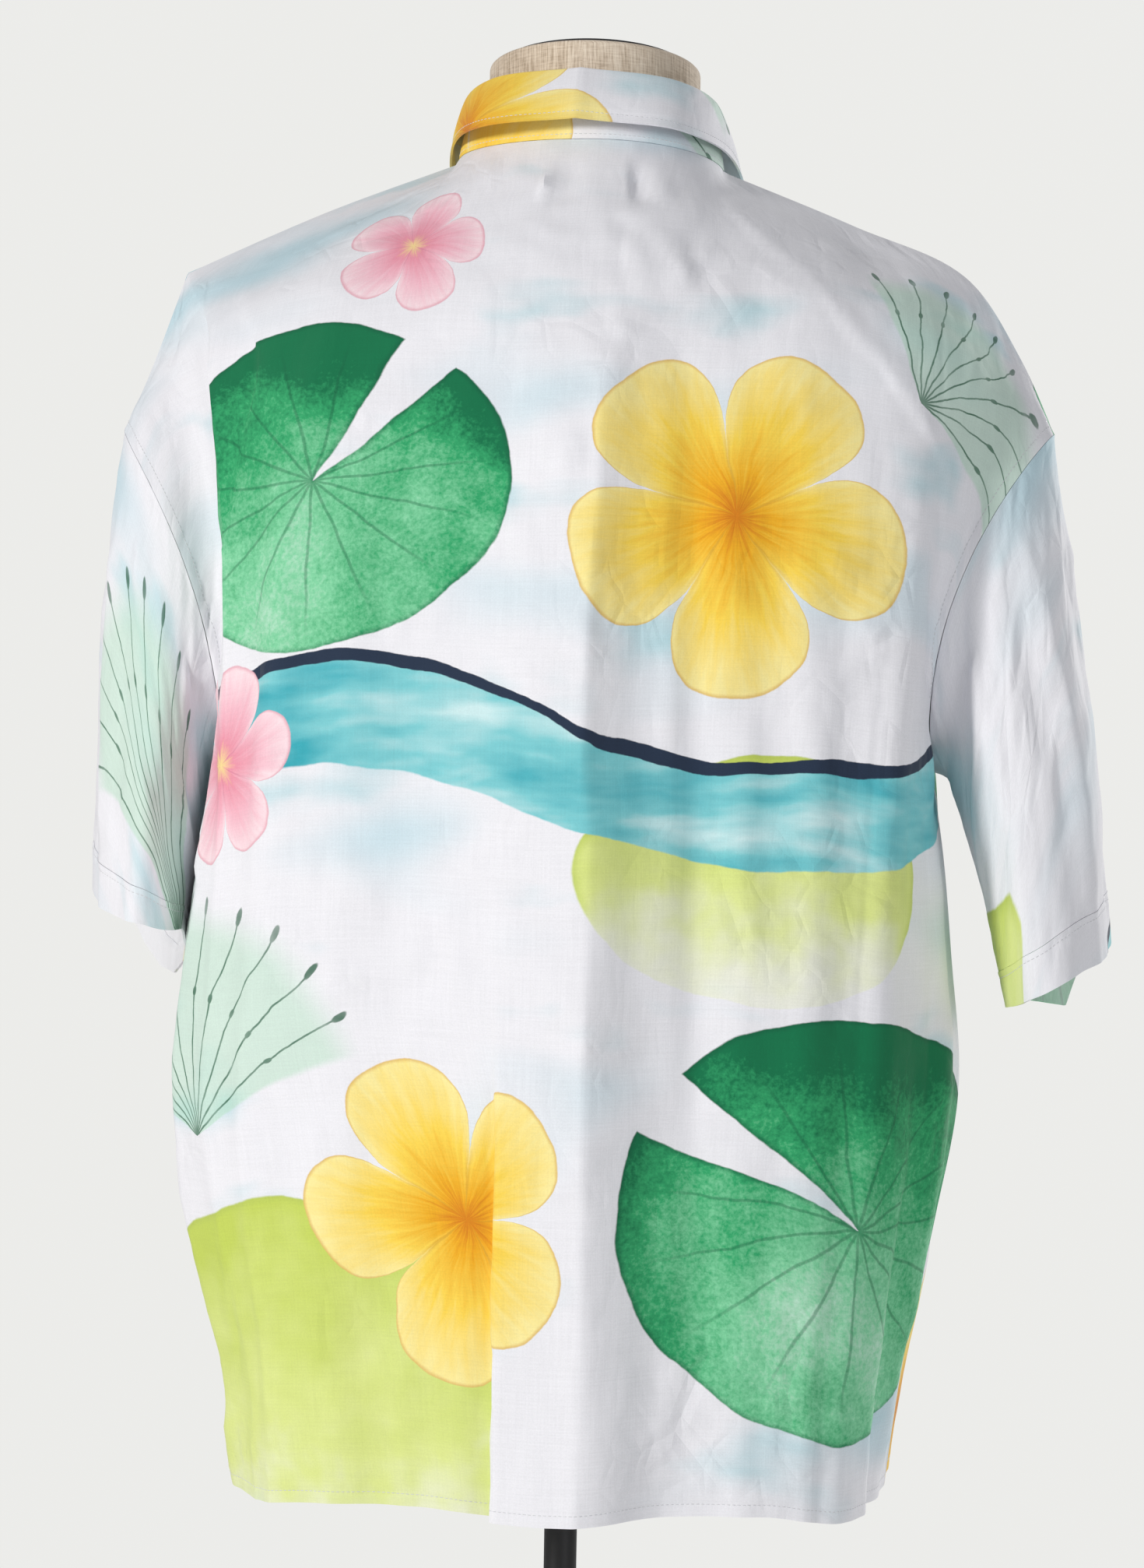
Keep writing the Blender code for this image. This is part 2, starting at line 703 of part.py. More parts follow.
def round_ring(radius, z, centre=(0.0, 0.0), slope=0.0, sides=ROUND_SIDES):
    """A level or sloping circle; the slope is rise over run towards +Y."""
    points = []
    for i in range(sides):
        a = 2 * math.pi * i / sides
        y = radius * math.cos(a)
        points.append((centre[0] + radius * math.sin(a), centre[1] + y, z + y * slope))
    return points


def build_body(paint, collection):
    """The back panel, both fronts and both sleeves, with one shared edge direction along every seam."""
    half_u, v_values = half_u_values(), v_levels()
    back_u = np.concatenate([-half_u[:0:-1], half_u])
    overlap = half_u[1]
    left_u = np.concatenate([[-overlap], half_u])
    right_u = -left_u[::-1]
    back = panel_grid(1, back_u, v_values)
    back_n = grid_normals(back, 1)
    back = folded(back, back_n, BACK_FOLDS, back_u, v_values)
    fronts = {}
    for side, u_values, lift in (("left", left_u, 1), ("right", right_u, -1)):
        grid = panel_grid(-1, u_values, v_values)
        normals = grid_normals(grid, -1)
        grid = folded(grid, normals, FRONT_FOLDS, u_values, v_values)
        ramp = 1 - smoothstep(overlap, OVERLAP_FADE * overlap, np.abs(u_values))
        grid = grid + normals * (ramp * lift * OVERLAP_LIFT / 2)[None, :, None]
        fronts[side] = grid
    back_n = grid_normals(back, 1)
    fronts_n = {side: grid_normals(fronts[side], -1) for side in fronts}
    angles = sleeve_angles(v_values)
    rows_up = ROWS_ALONG_ARMHOLE + 1
    shoulder = len(half_u) - COLUMNS_TO_NECK_POINT
    s_values = np.linspace(0, CUFF_SHARE, SLEEVE_ROWS)
    for side, sign in (("left", 1), ("right", -1)):
        column = -1 if sign > 0 else 0
        front, front_n = fronts[side], fronts_n[side]
        sleeve = np.array([sleeve_ring(side, s, angles) for s in s_values])
        cuff = np.array([sleeve_ring(side, s, angles) for s in (CUFF_SHARE, (1 + CUFF_SHARE) / 2, 1.0)])
        if sign < 0:
            sleeve[..., 0] *= -1
            cuff[..., 0] *= -1
        sleeve_n = grid_normals(sleeve, round_columns=True)
        cuff_n = grid_normals(cuff, round_columns=True)
        # side seam
        below = ROWS_BELOW_ARMHOLE + 1
        seam = shared(back_n[:below, column], front_n[:below, column])
        back_n[:below, column] = seam
        front_n[:below, column] = seam
        # shoulder seam
        wide = slice(-shoulder, None) if sign > 0 else slice(0, shoulder)
        seam = shared(back_n[-1, wide], front_n[-1, wide])
        back_n[-1, wide] = seam
        front_n[-1, wide] = seam
        # armhole: the sleeve's first columns run down the back, and the rest run down the front
        for j in range(rows_up):
            row = -1 - j
            seam = shared(back_n[row, column], sleeve_n[0, j])
            back_n[row, column] = seam
            sleeve_n[0, j] = seam
        for j in range(1, rows_up - 1):
            row = -rows_up + j
            seam = shared(front_n[row, column], sleeve_n[0, rows_up - 1 + j])
            front_n[row, column] = seam
            sleeve_n[0, rows_up - 1 + j] = seam
        for row, j in ((-1, 0), (-rows_up, rows_up - 1)):
            seam = shared(shared(back_n[row, column], front_n[row, column]), sleeve_n[0, j])
            back_n[row, column] = seam
            front_n[row, column] = seam
            sleeve_n[0, j] = seam
        edge_n = shared(sleeve_n[-1], cuff_n[0])
        low = np.array([(1 - math.cos(math.radians(degrees))) / 2 for degrees, _ in angles])
        moved_in(sleeve, 0, False, SEAM_INSET + UNDERARM_INSET * low**3)
        moved_in(sleeve, 0, True, SEAM_INSET)
        moved_in(cuff, 0, False, SEAM_INSET)
        sleeve_n[-1], cuff_n[0] = edge_n, edge_n
        wall(f"sleeve_{side}", sleeve, sleeve_n, WALL, paint, collection, round_columns=True)
        wall(f"cuff_{side}", cuff, cuff_n, CUFF_WALL, paint, collection, round_columns=True)
        moved_in(front, 1, sign > 0, SEAM_INSET)
        moved_in(back, 1, sign > 0, SEAM_INSET)
    for grid in (back, *fronts.values()):
        moved_in(grid, 0, True, SEAM_INSET)
    wall("back", back, back_n, WALL, paint, collection)
    for side in fronts:
        wall(f"front_{side}", fronts[side], fronts_n[side], WALL, paint, collection)
    return fronts, fronts_n


def collar_line(table, t, shift):
    """A point of a collar line at t, from -1 at its right front end to 1 at its left front end."""
    rows = np.array([[p.x, p.y, p.z] for p in table]) * MM
    point = blend_rows([p.t for p in table], rows, abs(t))[0]
    point[0] = math.copysign(point[0], t) + shift
    point[2] += point[0] * COLLAR_TILT
    return point


def collar_seam(t):
    """The point of the neckline that the collar's stand rises from."""
    side, sign = ("left", 1) if t >= 0 else ("right", -1)
    share = abs(t) * 2
    if share <= 1:
        point = neckline(along(CENTRE_BACK, 1.0), along(NECK_LINE_BACK[side], 1.0), share)
    else:
        point = neckline(along(CENTRE_FRONT, 1.0), along(NECK_LINE_FRONT[side], 1.0), 2 - share)
    point[0] = max(point[0], 2 * MM) * sign if share > 1 else point[0] * sign
    return point


def ring_normals(grid, middle):
    """Unit normals of a strip that runs round the neck, pointing away from the neck's middle."""
    normals = np.cross(np.gradient(grid, axis=1), np.gradient(grid, axis=0))
    normals /= np.maximum(np.linalg.norm(normals, axis=2, keepdims=True), 1e-12)
    outward = grid[1] - middle
    if (outward * normals[1]).sum() < 0:
        normals = -normals
    return normals


def build_collar(paint, collection):
    t_values = np.linspace(-1, 1, COLLAR_COLUMNS + 1)
    up = np.array([0.0, 0.0, 1.0])
    middle = np.array(COLLAR_MIDDLE)
    seam = np.array([collar_seam(t) + up * NECK_GAP for t in t_values])
    fold = np.array([collar_line(FOLD_LINE, t, FOLD_SHIFT) for t in t_values])
    edge = np.array([collar_line(FALL_EDGE, t, EDGE_SHIFT) for t in t_values])
    stand = np.array([seam, seam + (fold - seam) * 0.5, fold])
    wall("collar_stand", stand, ring_normals(stand, middle), COLLAR_WALL, paint, collection)
    out = fold - middle
    out[:, 2] = 0
    out /= np.linalg.norm(out, axis=1, keepdims=True)
    rows = [fold + out * a * MM + up * b * MM for a, b in FALL_ROLL]
    for share in FALL_SHARES:
        rows.append(rows[2] + (edge - rows[2]) * share + out * FALL_BULGE * math.sin(math.pi * share))
    fall = np.array(rows)
    wall("collar_fall", fall, ring_normals(fall, middle), COLLAR_WALL, paint, collection)


def build_buttons(front, normals, v_values, paint, collection):
    """Round buttons down the middle of the left front, each just clear of the cloth."""
    column = 1
    for n, v in enumerate(np.linspace(BUTTON_FIRST_V, BUTTON_LAST_V, BUTTON_COUNT)):
        place = blend_rows(v_values, front[:, column], v)[0]
        axis = blend_rows(v_values, normals[:, column], v)[0]
        axis /= np.linalg.norm(axis)
        across = np.cross(axis, (0.0, 0.0, 1.0))
        across /= np.linalg.norm(across)
        upward = np.cross(across, axis)
        start = WALL / 2 + BUTTON_CLEARANCE
        rings = []
        for radius_share, height_share in BUTTON_PROFILE:
            ring = []
            for i in range(BUTTON_SIDES):
                a = 2 * math.pi * i / BUTTON_SIDES
                spoke = across * math.cos(a) + upward * math.sin(a)
                height = start + BUTTON_THICKNESS * height_share
                ring.append(place + spoke * BUTTON_RADIUS * radius_share + axis * height)
            rings.append(ring)
        loft(f"button_{n + 1}", rings, paint, collection)


def build_form(linen, black, cap_paint, collection):
    loft("form_torso", [torso_ring(r) for r in TORSO], linen, collection)
    centre = (NECK_X, NECK_Y)
    top = TORSO[-1]
    middle = (top.y_front + top.y_back) / 2 * MM
    foot_z = top.z * MM + (NECK_Y - middle) * NECK_FOOT_SLOPE + TOUCH_GAP
    neck = [
        round_ring(NECK_RADIUS, foot_z, centre, NECK_FOOT_SLOPE),
        round_ring(NECK_RADIUS, NECK_TOP_Z - 2 * MM, centre, NECK_TOP_SLOPE),
        round_ring(NECK_RADIUS - 2 * MM, NECK_TOP_Z, centre, NECK_TOP_SLOPE),
    ]
    loft("form_neck", neck, linen, collection)
    cap_low = NECK_TOP_Z + TOUCH_GAP
    cap = [
        round_ring(NECK_RADIUS - CAP_INSET, cap_low, centre, NECK_TOP_SLOPE),
        round_ring(NECK_RADIUS - CAP_INSET, cap_low + CAP_THICKNESS * 0.6, centre, NECK_TOP_SLOPE),
        round_ring(NECK_RADIUS - CAP_INSET - 3 * MM, cap_low + CAP_THICKNESS, centre, NECK_TOP_SLOPE),
    ]
    loft("form_cap", cap, cap_paint, collection)
    pole = [round_ring(POLE_RADIUS, HUB_TOP_Z + TOUCH_GAP, sides=24)]
    pole.append(round_ring(POLE_RADIUS, TORSO_BOTTOM_Z - TOUCH_GAP, sides=24))
    loft("pole", pole, black, collection)
    base = [
        round_ring(BASE_RADIUS - 2 * MM, 0.0),
        round_ring(BASE_RADIUS, 2 * MM),
        round_ring(BASE_RADIUS, BASE_THICKNESS - 4 * MM),
        round_ring(BASE_RADIUS - 5 * MM, BASE_THICKNESS),
        round_ring(HUB_RADIUS + 6 * MM, BASE_THICKNESS + 4 * MM),
        round_ring(HUB_RADIUS, BASE_THICKNESS + 10 * MM),
        round_ring(HUB_RADIUS - 4 * MM, HUB_TOP_Z),
    ]
    loft("base", base, black, collection)


def main():
    for obj in list(bpy.data.objects):
        bpy.data.objects.remove(obj)
    collection = bpy.data.collections.new("shirt_on_dress_form")
    bpy.context.scene.collection.children.link(collection)
    cloth = material("cloth", (0.86, 0.90, 0.92), 0.75)
    linen = material("linen", (0.46, 0.39, 0.31), 0.9)
    cap_paint = material("cap", (0.03, 0.03, 0.032), 0.5)
    black = material("black_paint", (0.02, 0.02, 0.022), 0.4)
    shell = material("button_shell", (0.85, 0.83, 0.78), 0.3)
    fronts, normals = build_body(cloth, collection)
    build_collar(cloth, collection)
    build_buttons(fronts["left"], normals["left"], v_levels(), shell, collection)
    build_form(linen, black, cap_paint, collection)


main()
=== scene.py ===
"""Looks of a wide short-sleeved printed shirt with a turned-down collar, worn by a limbless dress form.

Metres, +Z up, and the shirt's front faces -Y, so +X is the wearer's left. Every cloth piece is a thin wall
whose middle surface is worked out from guide lines, as in the frame, and then folded, creased and puckered.
"""

import math
from collections import namedtuple

import bmesh
import bpy
import numpy as np
from mathutils import Matrix, Vector
from mathutils.bvhtree import BVHTree


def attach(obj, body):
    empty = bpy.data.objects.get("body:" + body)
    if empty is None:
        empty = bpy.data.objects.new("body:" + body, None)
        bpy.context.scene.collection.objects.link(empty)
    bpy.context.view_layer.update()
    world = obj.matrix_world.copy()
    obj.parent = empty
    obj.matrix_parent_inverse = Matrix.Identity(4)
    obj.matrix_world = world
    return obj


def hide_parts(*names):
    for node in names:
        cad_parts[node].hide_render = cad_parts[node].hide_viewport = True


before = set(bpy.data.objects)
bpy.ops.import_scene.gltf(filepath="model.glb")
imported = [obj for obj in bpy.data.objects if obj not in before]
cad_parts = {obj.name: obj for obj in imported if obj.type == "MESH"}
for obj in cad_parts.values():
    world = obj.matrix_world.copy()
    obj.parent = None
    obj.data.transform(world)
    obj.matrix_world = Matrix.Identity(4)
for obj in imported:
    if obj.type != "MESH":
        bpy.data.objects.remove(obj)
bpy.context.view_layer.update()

MM = 0.001
UP = np.array([0.0, 0.0, 1.0])

# Camera: it looks at the back, seven degrees round towards the wearer's right
PHOTO_LONG_SIDE = 2014
CAMERA_DISTANCE = 2.264
CAMERA_HEIGHT = 1.05
CAMERA_TURN = math.radians(7)
CAMERA_ROLL = math.radians(1)
CAMERA_LENS = 85
CAMERA_FILM = 36
CAMERA_SHIFT = -2 / PHOTO_LONG_SIDE

# Lights: name, place, target, width, watts, colour
LIGHTS = [
    ("key", (2.9, 3.0, 1.9), (0.0, 0.0, 1.05), 0.8, 112, (1.0, 0.99, 0.97)),
    ("fill", (-2.8, 3.0, 1.5), (0.0, 0.0, 1.05), 1.6, 36, (0.96, 0.98, 1.0)),
    ("front", (-1.8, -2.8, 2.0), (0.0, 0.0, 1.1), 1.6, 70, (1.0, 0.99, 0.97)),
]
SKY_LIGHT = 0.28
SKY_COLOUR = (0.97, 0.98, 1.0, 1.0)
BACKGROUND = (0.84, 0.84, 0.82, 1.0)
FLOOR_COLOURS = ((0.78, 0.78, 0.76, 1.0), (0.82, 0.82, 0.80, 1.0))
FLOOR_RADIUS = 2.4
FLOOR_DROP = 0.4 * MM
FLOOR_SIDES = 96

# Thickness of the cloth, and what the pieces leave free between them
CLOTH = 0.7 * MM
HEM_CLOTH = 1.2 * MM
CUFF_CLOTH = 1.5 * MM
COLLAR_CLOTH = 1.4 * MM
SEAM_INSET = 0.15 * MM
UNDERARM_INSET = 1.2 * MM
UNDERARM_POWER = 3
NECK_GAP = 0.25 * MM
FORM_GAP = 0.8 * MM
FORM_REACH = 30 * MM

# Rows and columns of the cloth's mesh
HALF_COLUMNS = 90
OVERLAP_COLUMNS = 6
ROWS_BELOW_ARMHOLE = 120
ROWS_ALONG_ARMHOLE = 104
SLEEVE_ROWS = 84
CUFF_ROWS = 18
COLLAR_COLUMNS = 170
STAND_ROWS = 16
FALL_ROWS = 34
# Columns lie closer together where a fold laps, and rows at the hem
LAP_PLACES = (0.062, 0.60, 0.72, 0.81)
LAP_REACH = 0.02
LAP_DENSITY = 3.0
HEM_DENSITY = 2.5
HEM_DENSITY_REACH = 0.02
# Fine steps from which the columns and the rows are chosen
COLUMN_STEPS, ROW_STEPS = 2000, 1000

# Places along a half panel, as a share of its width from the middle line to the side edge
NECK_U, BLADE_U, RIDGE_U, VALLEY_U = 0.28, 0.49, 0.70, 0.85
SLOPE_STEP = 0.001
# Where the underarm lies, as a share of the panel's length from the hem to the shoulder
UNDERARM_V = 0.53
# Above this share of the length the row's shape turns into that of the neckline
NECKLINE_FROM_V = 0.80

# Armhole: the loop where the sleeve is sewn on, in its own tilted plane
ARMHOLE_TOP = (288 * MM, 1267 * MM)
ARMHOLE_UNDER = (217 * MM, 1062 * MM)
ARMHOLE_Y = -20 * MM
ARMHOLE_HALF_DEPTH = 60 * MM
ARMHOLE_BELLY = 22 * MM
# Angle round the armhole from its top, in degrees, at each height of the panel's edge
ARMHOLE_BY_V = [(UNDERARM_V, 180), (0.60, 125), (0.70, 93), (0.80, 60), (0.90, 30), (1.0, 0)]

# The left front laps over the right one by this share of the half width on each side of the middle line
OVERLAP_U = 0.056
OVERLAP_LIFT = 1.5 * MM
OVERLAP_FADE = 2.5

# Guide lines of the panels in mm, from the hem (v = 0) up to the shoulder and neck (v = 1). A row has its v,
# its place on the wearer's left and, where it differs, its place on the right as if on the left too.
BACK_GUIDES = {
    "centre": [
        (0.0, (0, 128, 626)),
        (0.1, (0, 130, 708)),
        (0.2, (0, 131, 790)),
        (0.3, (0, 130, 870)),
        (0.4, (0, 128, 952)),
        (0.5, (0, 125, 1034)),
        (0.6, (0, 121, 1115)),
        (0.7, (0, 114, 1195)),
        (0.8, (0, 103, 1275)),
        (0.9, (0, 74, 1358)),
        (1.0, (0, 8, 1443)),
    ],
    "neck": [
        (0.0, (86, 120, 629), (84, 120, 629)),
        (0.3, (96, 122, 870), (94, 122, 870)),
        (0.5, (98, 118, 1034), (96, 118, 1034)),
        (0.7, (98, 108, 1195), (96, 108, 1195)),
        (0.8, (97, 96, 1276), (94, 96, 1274)),
        (0.9, (94, 58, 1361), (88, 58, 1357)),
        (0.95, (90, 8, 1408), (84, 8, 1402)),
        (1.0, (86, -62, 1440), (80, -62, 1434)),
    ],
    "blade": [
        (0.0, (132, 112, 627), (134, 108, 628)),
        (0.3, (157, 110, 870), (150, 110, 870)),
        (0.5, (158, 106, 1034), (155, 106, 1034)),
        (0.7, (160, 98, 1194), (158, 98, 1194)),
        (0.8, (162, 88, 1272), (158, 88, 1268)),
        (0.9, (165, 48, 1350), (160, 50, 1343)),
        (1.0, (169, -53, 1408), (162, -53, 1399)),
    ],
    "ridge": [
        (0.0, (173, 88, 622), (174, 86, 622)),
        (0.1, (181, 89, 706), (178, 87, 706)),
        (0.2, (199, 86, 789), (188, 86, 789)),
        (0.3, (208, 84, 870), (198, 84, 870)),
        (0.4, (205, 82, 952), (200, 82, 952)),
        (0.5, (204, 80, 1034)),
        (0.6, (203, 78, 1115), (209, 78, 1115)),
        (0.7, (207, 76, 1192), (212, 76, 1190)),
        (0.8, (214, 66, 1262), (213, 68, 1256)),
        (0.9, (229, 32, 1325), (219, 36, 1320)),
        (1.0, (256, -42, 1368), (235, -42, 1363)),
    ],
    "valley": [
        (0.0, (194, 42, 624), (189, 44, 624)),
        (0.3, (236, 42, 870), (226, 42, 870)),
        (0.5, (220, 38, 1034), (217, 40, 1034)),
        (0.6, (212, 42, 1113), (214, 46, 1113)),
        (0.7, (215, 36, 1172), (220, 46, 1172)),
        (0.8, (227, 26, 1234), (235, 40, 1234)),
        (0.9, (248, 4, 1292), (248, 14, 1290)),
        (1.0, (272, -35, 1318), (266, -35, 1316)),
    ],
}
FRONT_GUIDES = {
    "centre": [
        (0.0, (0, -168, 630)),
        (0.2, (0, -164, 785)),
        (0.4, (0, -160, 940)),
        (0.6, (0, -158, 1092)),
        (0.8, (0, -157, 1244)),
        (0.9, (0, -155, 1318)),
        (1.0, (0, -151, 1392)),
    ],
    "neck": [
        (0.0, (86, -160, 630), (84, -160, 630)),
        (0.3, (96, -154, 868), (94, -154, 868)),
        (0.5, (98, -152, 1028), (96, -152, 1028)),
        (0.7, (99, -149, 1180), (97, -149, 1180)),
        (0.8, (98, -145, 1262), (95, -145, 1260)),
        (0.9, (94, -133, 1350), (88, -133, 1347)),
        (0.95, (90, -112, 1399), (84, -112, 1395)),
        (1.0, (86, -62, 1440), (80, -62, 1434)),
    ],
    "blade": [
        (0.0, (132, -142, 630), (130, -142, 630)),
        (0.3, (157, -136, 868), (150, -136, 868)),
        (0.5, (158, -137, 1030), (154, -137, 1030)),
        (0.7, (161, -137, 1184), (157, -137, 1182)),
        (0.8, (163, -131, 1262), (158, -131, 1258)),
        (0.9, (166, -110, 1346), (160, -110, 1340)),
        (1.0, (169, -53, 1408), (162, -53, 1399)),
    ],
    "ridge": [
        (0.0, (174, -112, 630), (172, -112, 630)),
        (0.3, (210, -108, 868), (200, -108, 868)),
        (0.5, (204, -111, 1030), (203, -111, 1030)),
        (0.6, (203, -115, 1110), (206, -115, 1110)),
        (0.7, (206, -117, 1185), (208, -117, 1185)),
        (0.8, (214, -112, 1255), (212, -112, 1252)),
        (0.9, (231, -88, 1322), (220, -90, 1316)),
        (1.0, (256, -42, 1368), (235, -42, 1363)),
    ],
    "valley": [
        (0.0, (195, -64, 630), (190, -64, 630)),
        (0.3, (237, -58, 868), (227, -58, 868)),
        (0.5, (221, -66, 1032), (218, -66, 1032)),
        (0.6, (213, -80, 1111), (214, -80, 1111)),
        (0.7, (217, -82, 1166), (219, -84, 1166)),
        (0.8, (230, -78, 1230), (232, -80, 1230)),
        (0.9, (250, -62, 1290), (246, -62, 1288)),
        (1.0, (272, -35, 1318), (266, -35, 1316)),
    ],
}
SIDE_SEAM = [
    (0.0, (204, -8, 627), (196, -8, 628)),
    (0.1, (213, -8, 708), (207, -8, 708)),
    (0.2, (237, -8, 790), (224, -8, 790)),
    (0.3, (247, -9, 870), (237, -9, 870)),
    (0.4, (240, -11, 952), (231, -11, 952)),
    (0.47, (229, -15, 1012), (225, -15, 1012)),
    (UNDERARM_V, (217, -20, 1062)),
]
# A creased side turns sharply at the ridge
CREASED_SIDES = ("left",)
# How far the wearer's left side is taken in above the hem, in mm, by its height
SIDE_TAKEN_IN = [
    (0.0, 0), (0.025, 0.5), (0.042, 2), (0.060, 7.5), (0.077, 9.5), (0.094, 10.5), (0.112, 8.7), (0.129, 6.5),
    (0.15, 6), (0.165, 5), (0.185, 3), (0.21, 0),
]
SIDE_FROM_U = 0.5
# Columns over which the corner of the neckline is eased below the shoulder seam
NECK_EASE = 5
NECK_EASE_REACH = 0.08
NECK_EASE_FROM = 0.05

# Sleeve sections in mm and degrees, from the armhole (s = 0) to the opening (s = 1). The columns are s, the
# outer side's x and z, the inner side's x and z, y of the middle, half depth, belly, rise of the back, twist.
SLEEVE = {
    "left": [
        (0.0, 288, 1267, 217, 1062, -20, 60, 22, 0, 0),
        (0.1, 292, 1240, 229, 1056, -20, 62, 19, -2, 2),
        (0.2, 296, 1212, 232, 1044, -21, 66, 15, -4, 4),
        (0.4, 301, 1150, 236, 1021, -23, 72, 8, -12, 8),
        (0.6, 304, 1088, 240, 998, -25, 78, 4, -20, 11),
        (0.8, 306, 1026, 243, 975, -26, 84, 2, -28, 13),
        (1.0, 307, 962, 246, 946, -27, 88, 0, -34, 14),
    ],
    "right": [
        (0.0, 288, 1267, 217, 1062, -20, 60, 22, 0, 0),
        (0.1, 292, 1238, 229, 1057, -20, 62, 19, -1, 0),
        (0.2, 297, 1208, 233, 1046, -20, 66, 15, -2, 0),
        (0.4, 306, 1150, 238, 1027, -20, 72, 8, -4, 1),
        (0.6, 315, 1090, 247, 1000, -20, 78, 4, -7, 2),
        (0.8, 322, 1025, 256, 965, -20, 84, 2, -10, 3),
        (1.0, 327, 958, 266, 923, -20, 88, 0, -14, 4),
    ],
}
CUFF_SHARE = 0.905
# How far the cuff's edge moves along the sleeve, in mm, by its place round the sleeve
CUFF_EDGE = {
    "left": [
        (-1.0, 10), (-0.85, 30), (-0.72, 35), (-0.58, 27), (-0.45, 12), (-0.3, 0), (0.0, -19), (0.5, -24),
        (0.8, -20), (1.0, 10),
    ],
    "right": [
        (-1.0, 2), (-0.85, 6), (-0.72, 16), (-0.58, 28), (-0.5, 18), (-0.4, 4), (-0.25, 0), (0.0, 0),
        (0.8, 0), (1.0, 2),
    ],
}
CUFF_EDGE_FROM = 0.55

# Collar lines in mm, from the centre back (t = 0) to the front end (t = 1): t, x, y, z
FOLD_LINE = [
    (0.0, 0, 0, 1486),
    (0.25, 56, -19, 1482),
    (0.5, 77, -70, 1472),
    (0.75, 57, -124, 1444),
    (1.0, 4, -148, 1417),
]
FALL_EDGE = [
    (0.0, 0, 25, 1453),
    (0.25, 63, 8, 1449),
    (0.5, 91, -72, 1441),
    (0.75, 87, -130, 1406),
    (0.9, 66, -155, 1371),
    (1.0, 42, -165, 1348),
]
# The fold line and the lower edge lean to the wearer's left
COLLAR_SHIFT = 3 * MM
COLLAR_TILT = 0.02
COLLAR_MIDDLE = (3 * MM, -70 * MM, 1460 * MM)
# Rows of the collar fall: the roll over the fold line, then the share of the way down to the edge
FALL_ROLL = [(-1.2, 1.3), (1.6, 1.5), (3.8, -0.4)]
FALL_SHARES = [0.28, 0.64, 1.0]
FALL_BULGE = 1.5 * MM
# Shares of the collar fall's rows that reach each of its guide rows
FALL_ROW_SHARES = [0.0, 0.10, 0.20, 0.45, 0.73, 1.0]
# The stand's front ends stay this far from the middle
STAND_END = 2 * MM
COLLAR_STILL = 8 * MM
COLLAR_WAVE = 0.55 * MM
# Ripples along the free edge of the fall: lift, size, reach and seed
FALL_RIPPLE = (0.5 * MM, 30 * MM, 9 * MM, 9)

# Sections of long folds: how much of the fold's height there is at each share of its width
SOFT_RIDGE = [(-1.0, 0.0), (-0.5, 0.35), (-0.15, 0.93), (0.0, 1.0), (0.15, 0.93), (0.5, 0.35), (1.0, 0.0)]
STEEP_RIGHT = [(-1.0, 0.0), (-0.62, -0.10), (-0.38, 0.22), (-0.06, 0.93), (0.0, 1.0), (0.5, 0.62), (1.0, 0.0)]
STEEP_LEFT = [(-1.0, 0.0), (-0.5, 0.55), (0.0, 1.0), (0.08, 0.90), (0.40, 0.15), (0.62, -0.08), (1.0, 0.0)]
CREST_RIGHT = [
    (-1.0, 0.0), (-0.65, -0.10), (-0.38, 0.16), (-0.18, 0.60), (-0.04, 0.93), (0.0, 1.0), (0.5, 0.62),
    (1.0, 0.0),
]
# A lap is a fold whose steep side drops on the cloth behind it
LAP_LEFT = [
    (-1.0, 0.0), (-0.3, 0.06), (0.0, 0.18), (0.04, 0.14), (0.12, -0.85), (0.5, -0.62), (1.0, -0.28),
    (2.0, 0.0),
]
LAP_RIGHT = [(-x, share) for x, share in LAP_LEFT[::-1]]
# How far the lap's edge leans over that cloth
LEAN_SECTION = [(-0.15, 0.0), (0.02, 1.0), (0.08, 0.0), (0.14, -1.0), (0.35, 0.0)]
LEAN_SHARE = 0.22
# How much cloth a lap hides, as a share of its height, and over which part of its section
LAP_TUCK = 1.7
TUCK_PLACE = (0.04, 0.12)
FOLD_SOFTNESS_ALONG = 3.0
FOLD_SOFTNESS_ACROSS = 1.1
# The crest of a fold wanders a little: how far, how often and from which table of noise
CREST_WOBBLE = 0.006
CREST_WOBBLE_RATE = 19.0
CREST_WOBBLE_STEP = 9
CREST_WOBBLE_SEED = 61

# On the back and the fronts u is negative on the wearer's right. On a sleeve u goes round: 0 is its top, 0.5
# the middle of its back and -0.5 the middle of its front, and v runs down to the opening.
# A long fold: where its crest runs (v, u), its height (v, mm), its width (v, u), its section and its lean
Fold = namedtuple("Fold", "crest height width section lean", defaults=(0,))
# A short crease from one place to another, bent sideways by a share of its length. Width and depth are in mm.
Crease = namedtuple("Crease", "u1 v1 u2 v2 bend width depth")
# A patch of crumpled cloth: its middle, its reach in u and v, the lift in mm and the size of its facets in mm
Crumple = namedtuple("Crumple", "u v reach_u reach_v lift size")

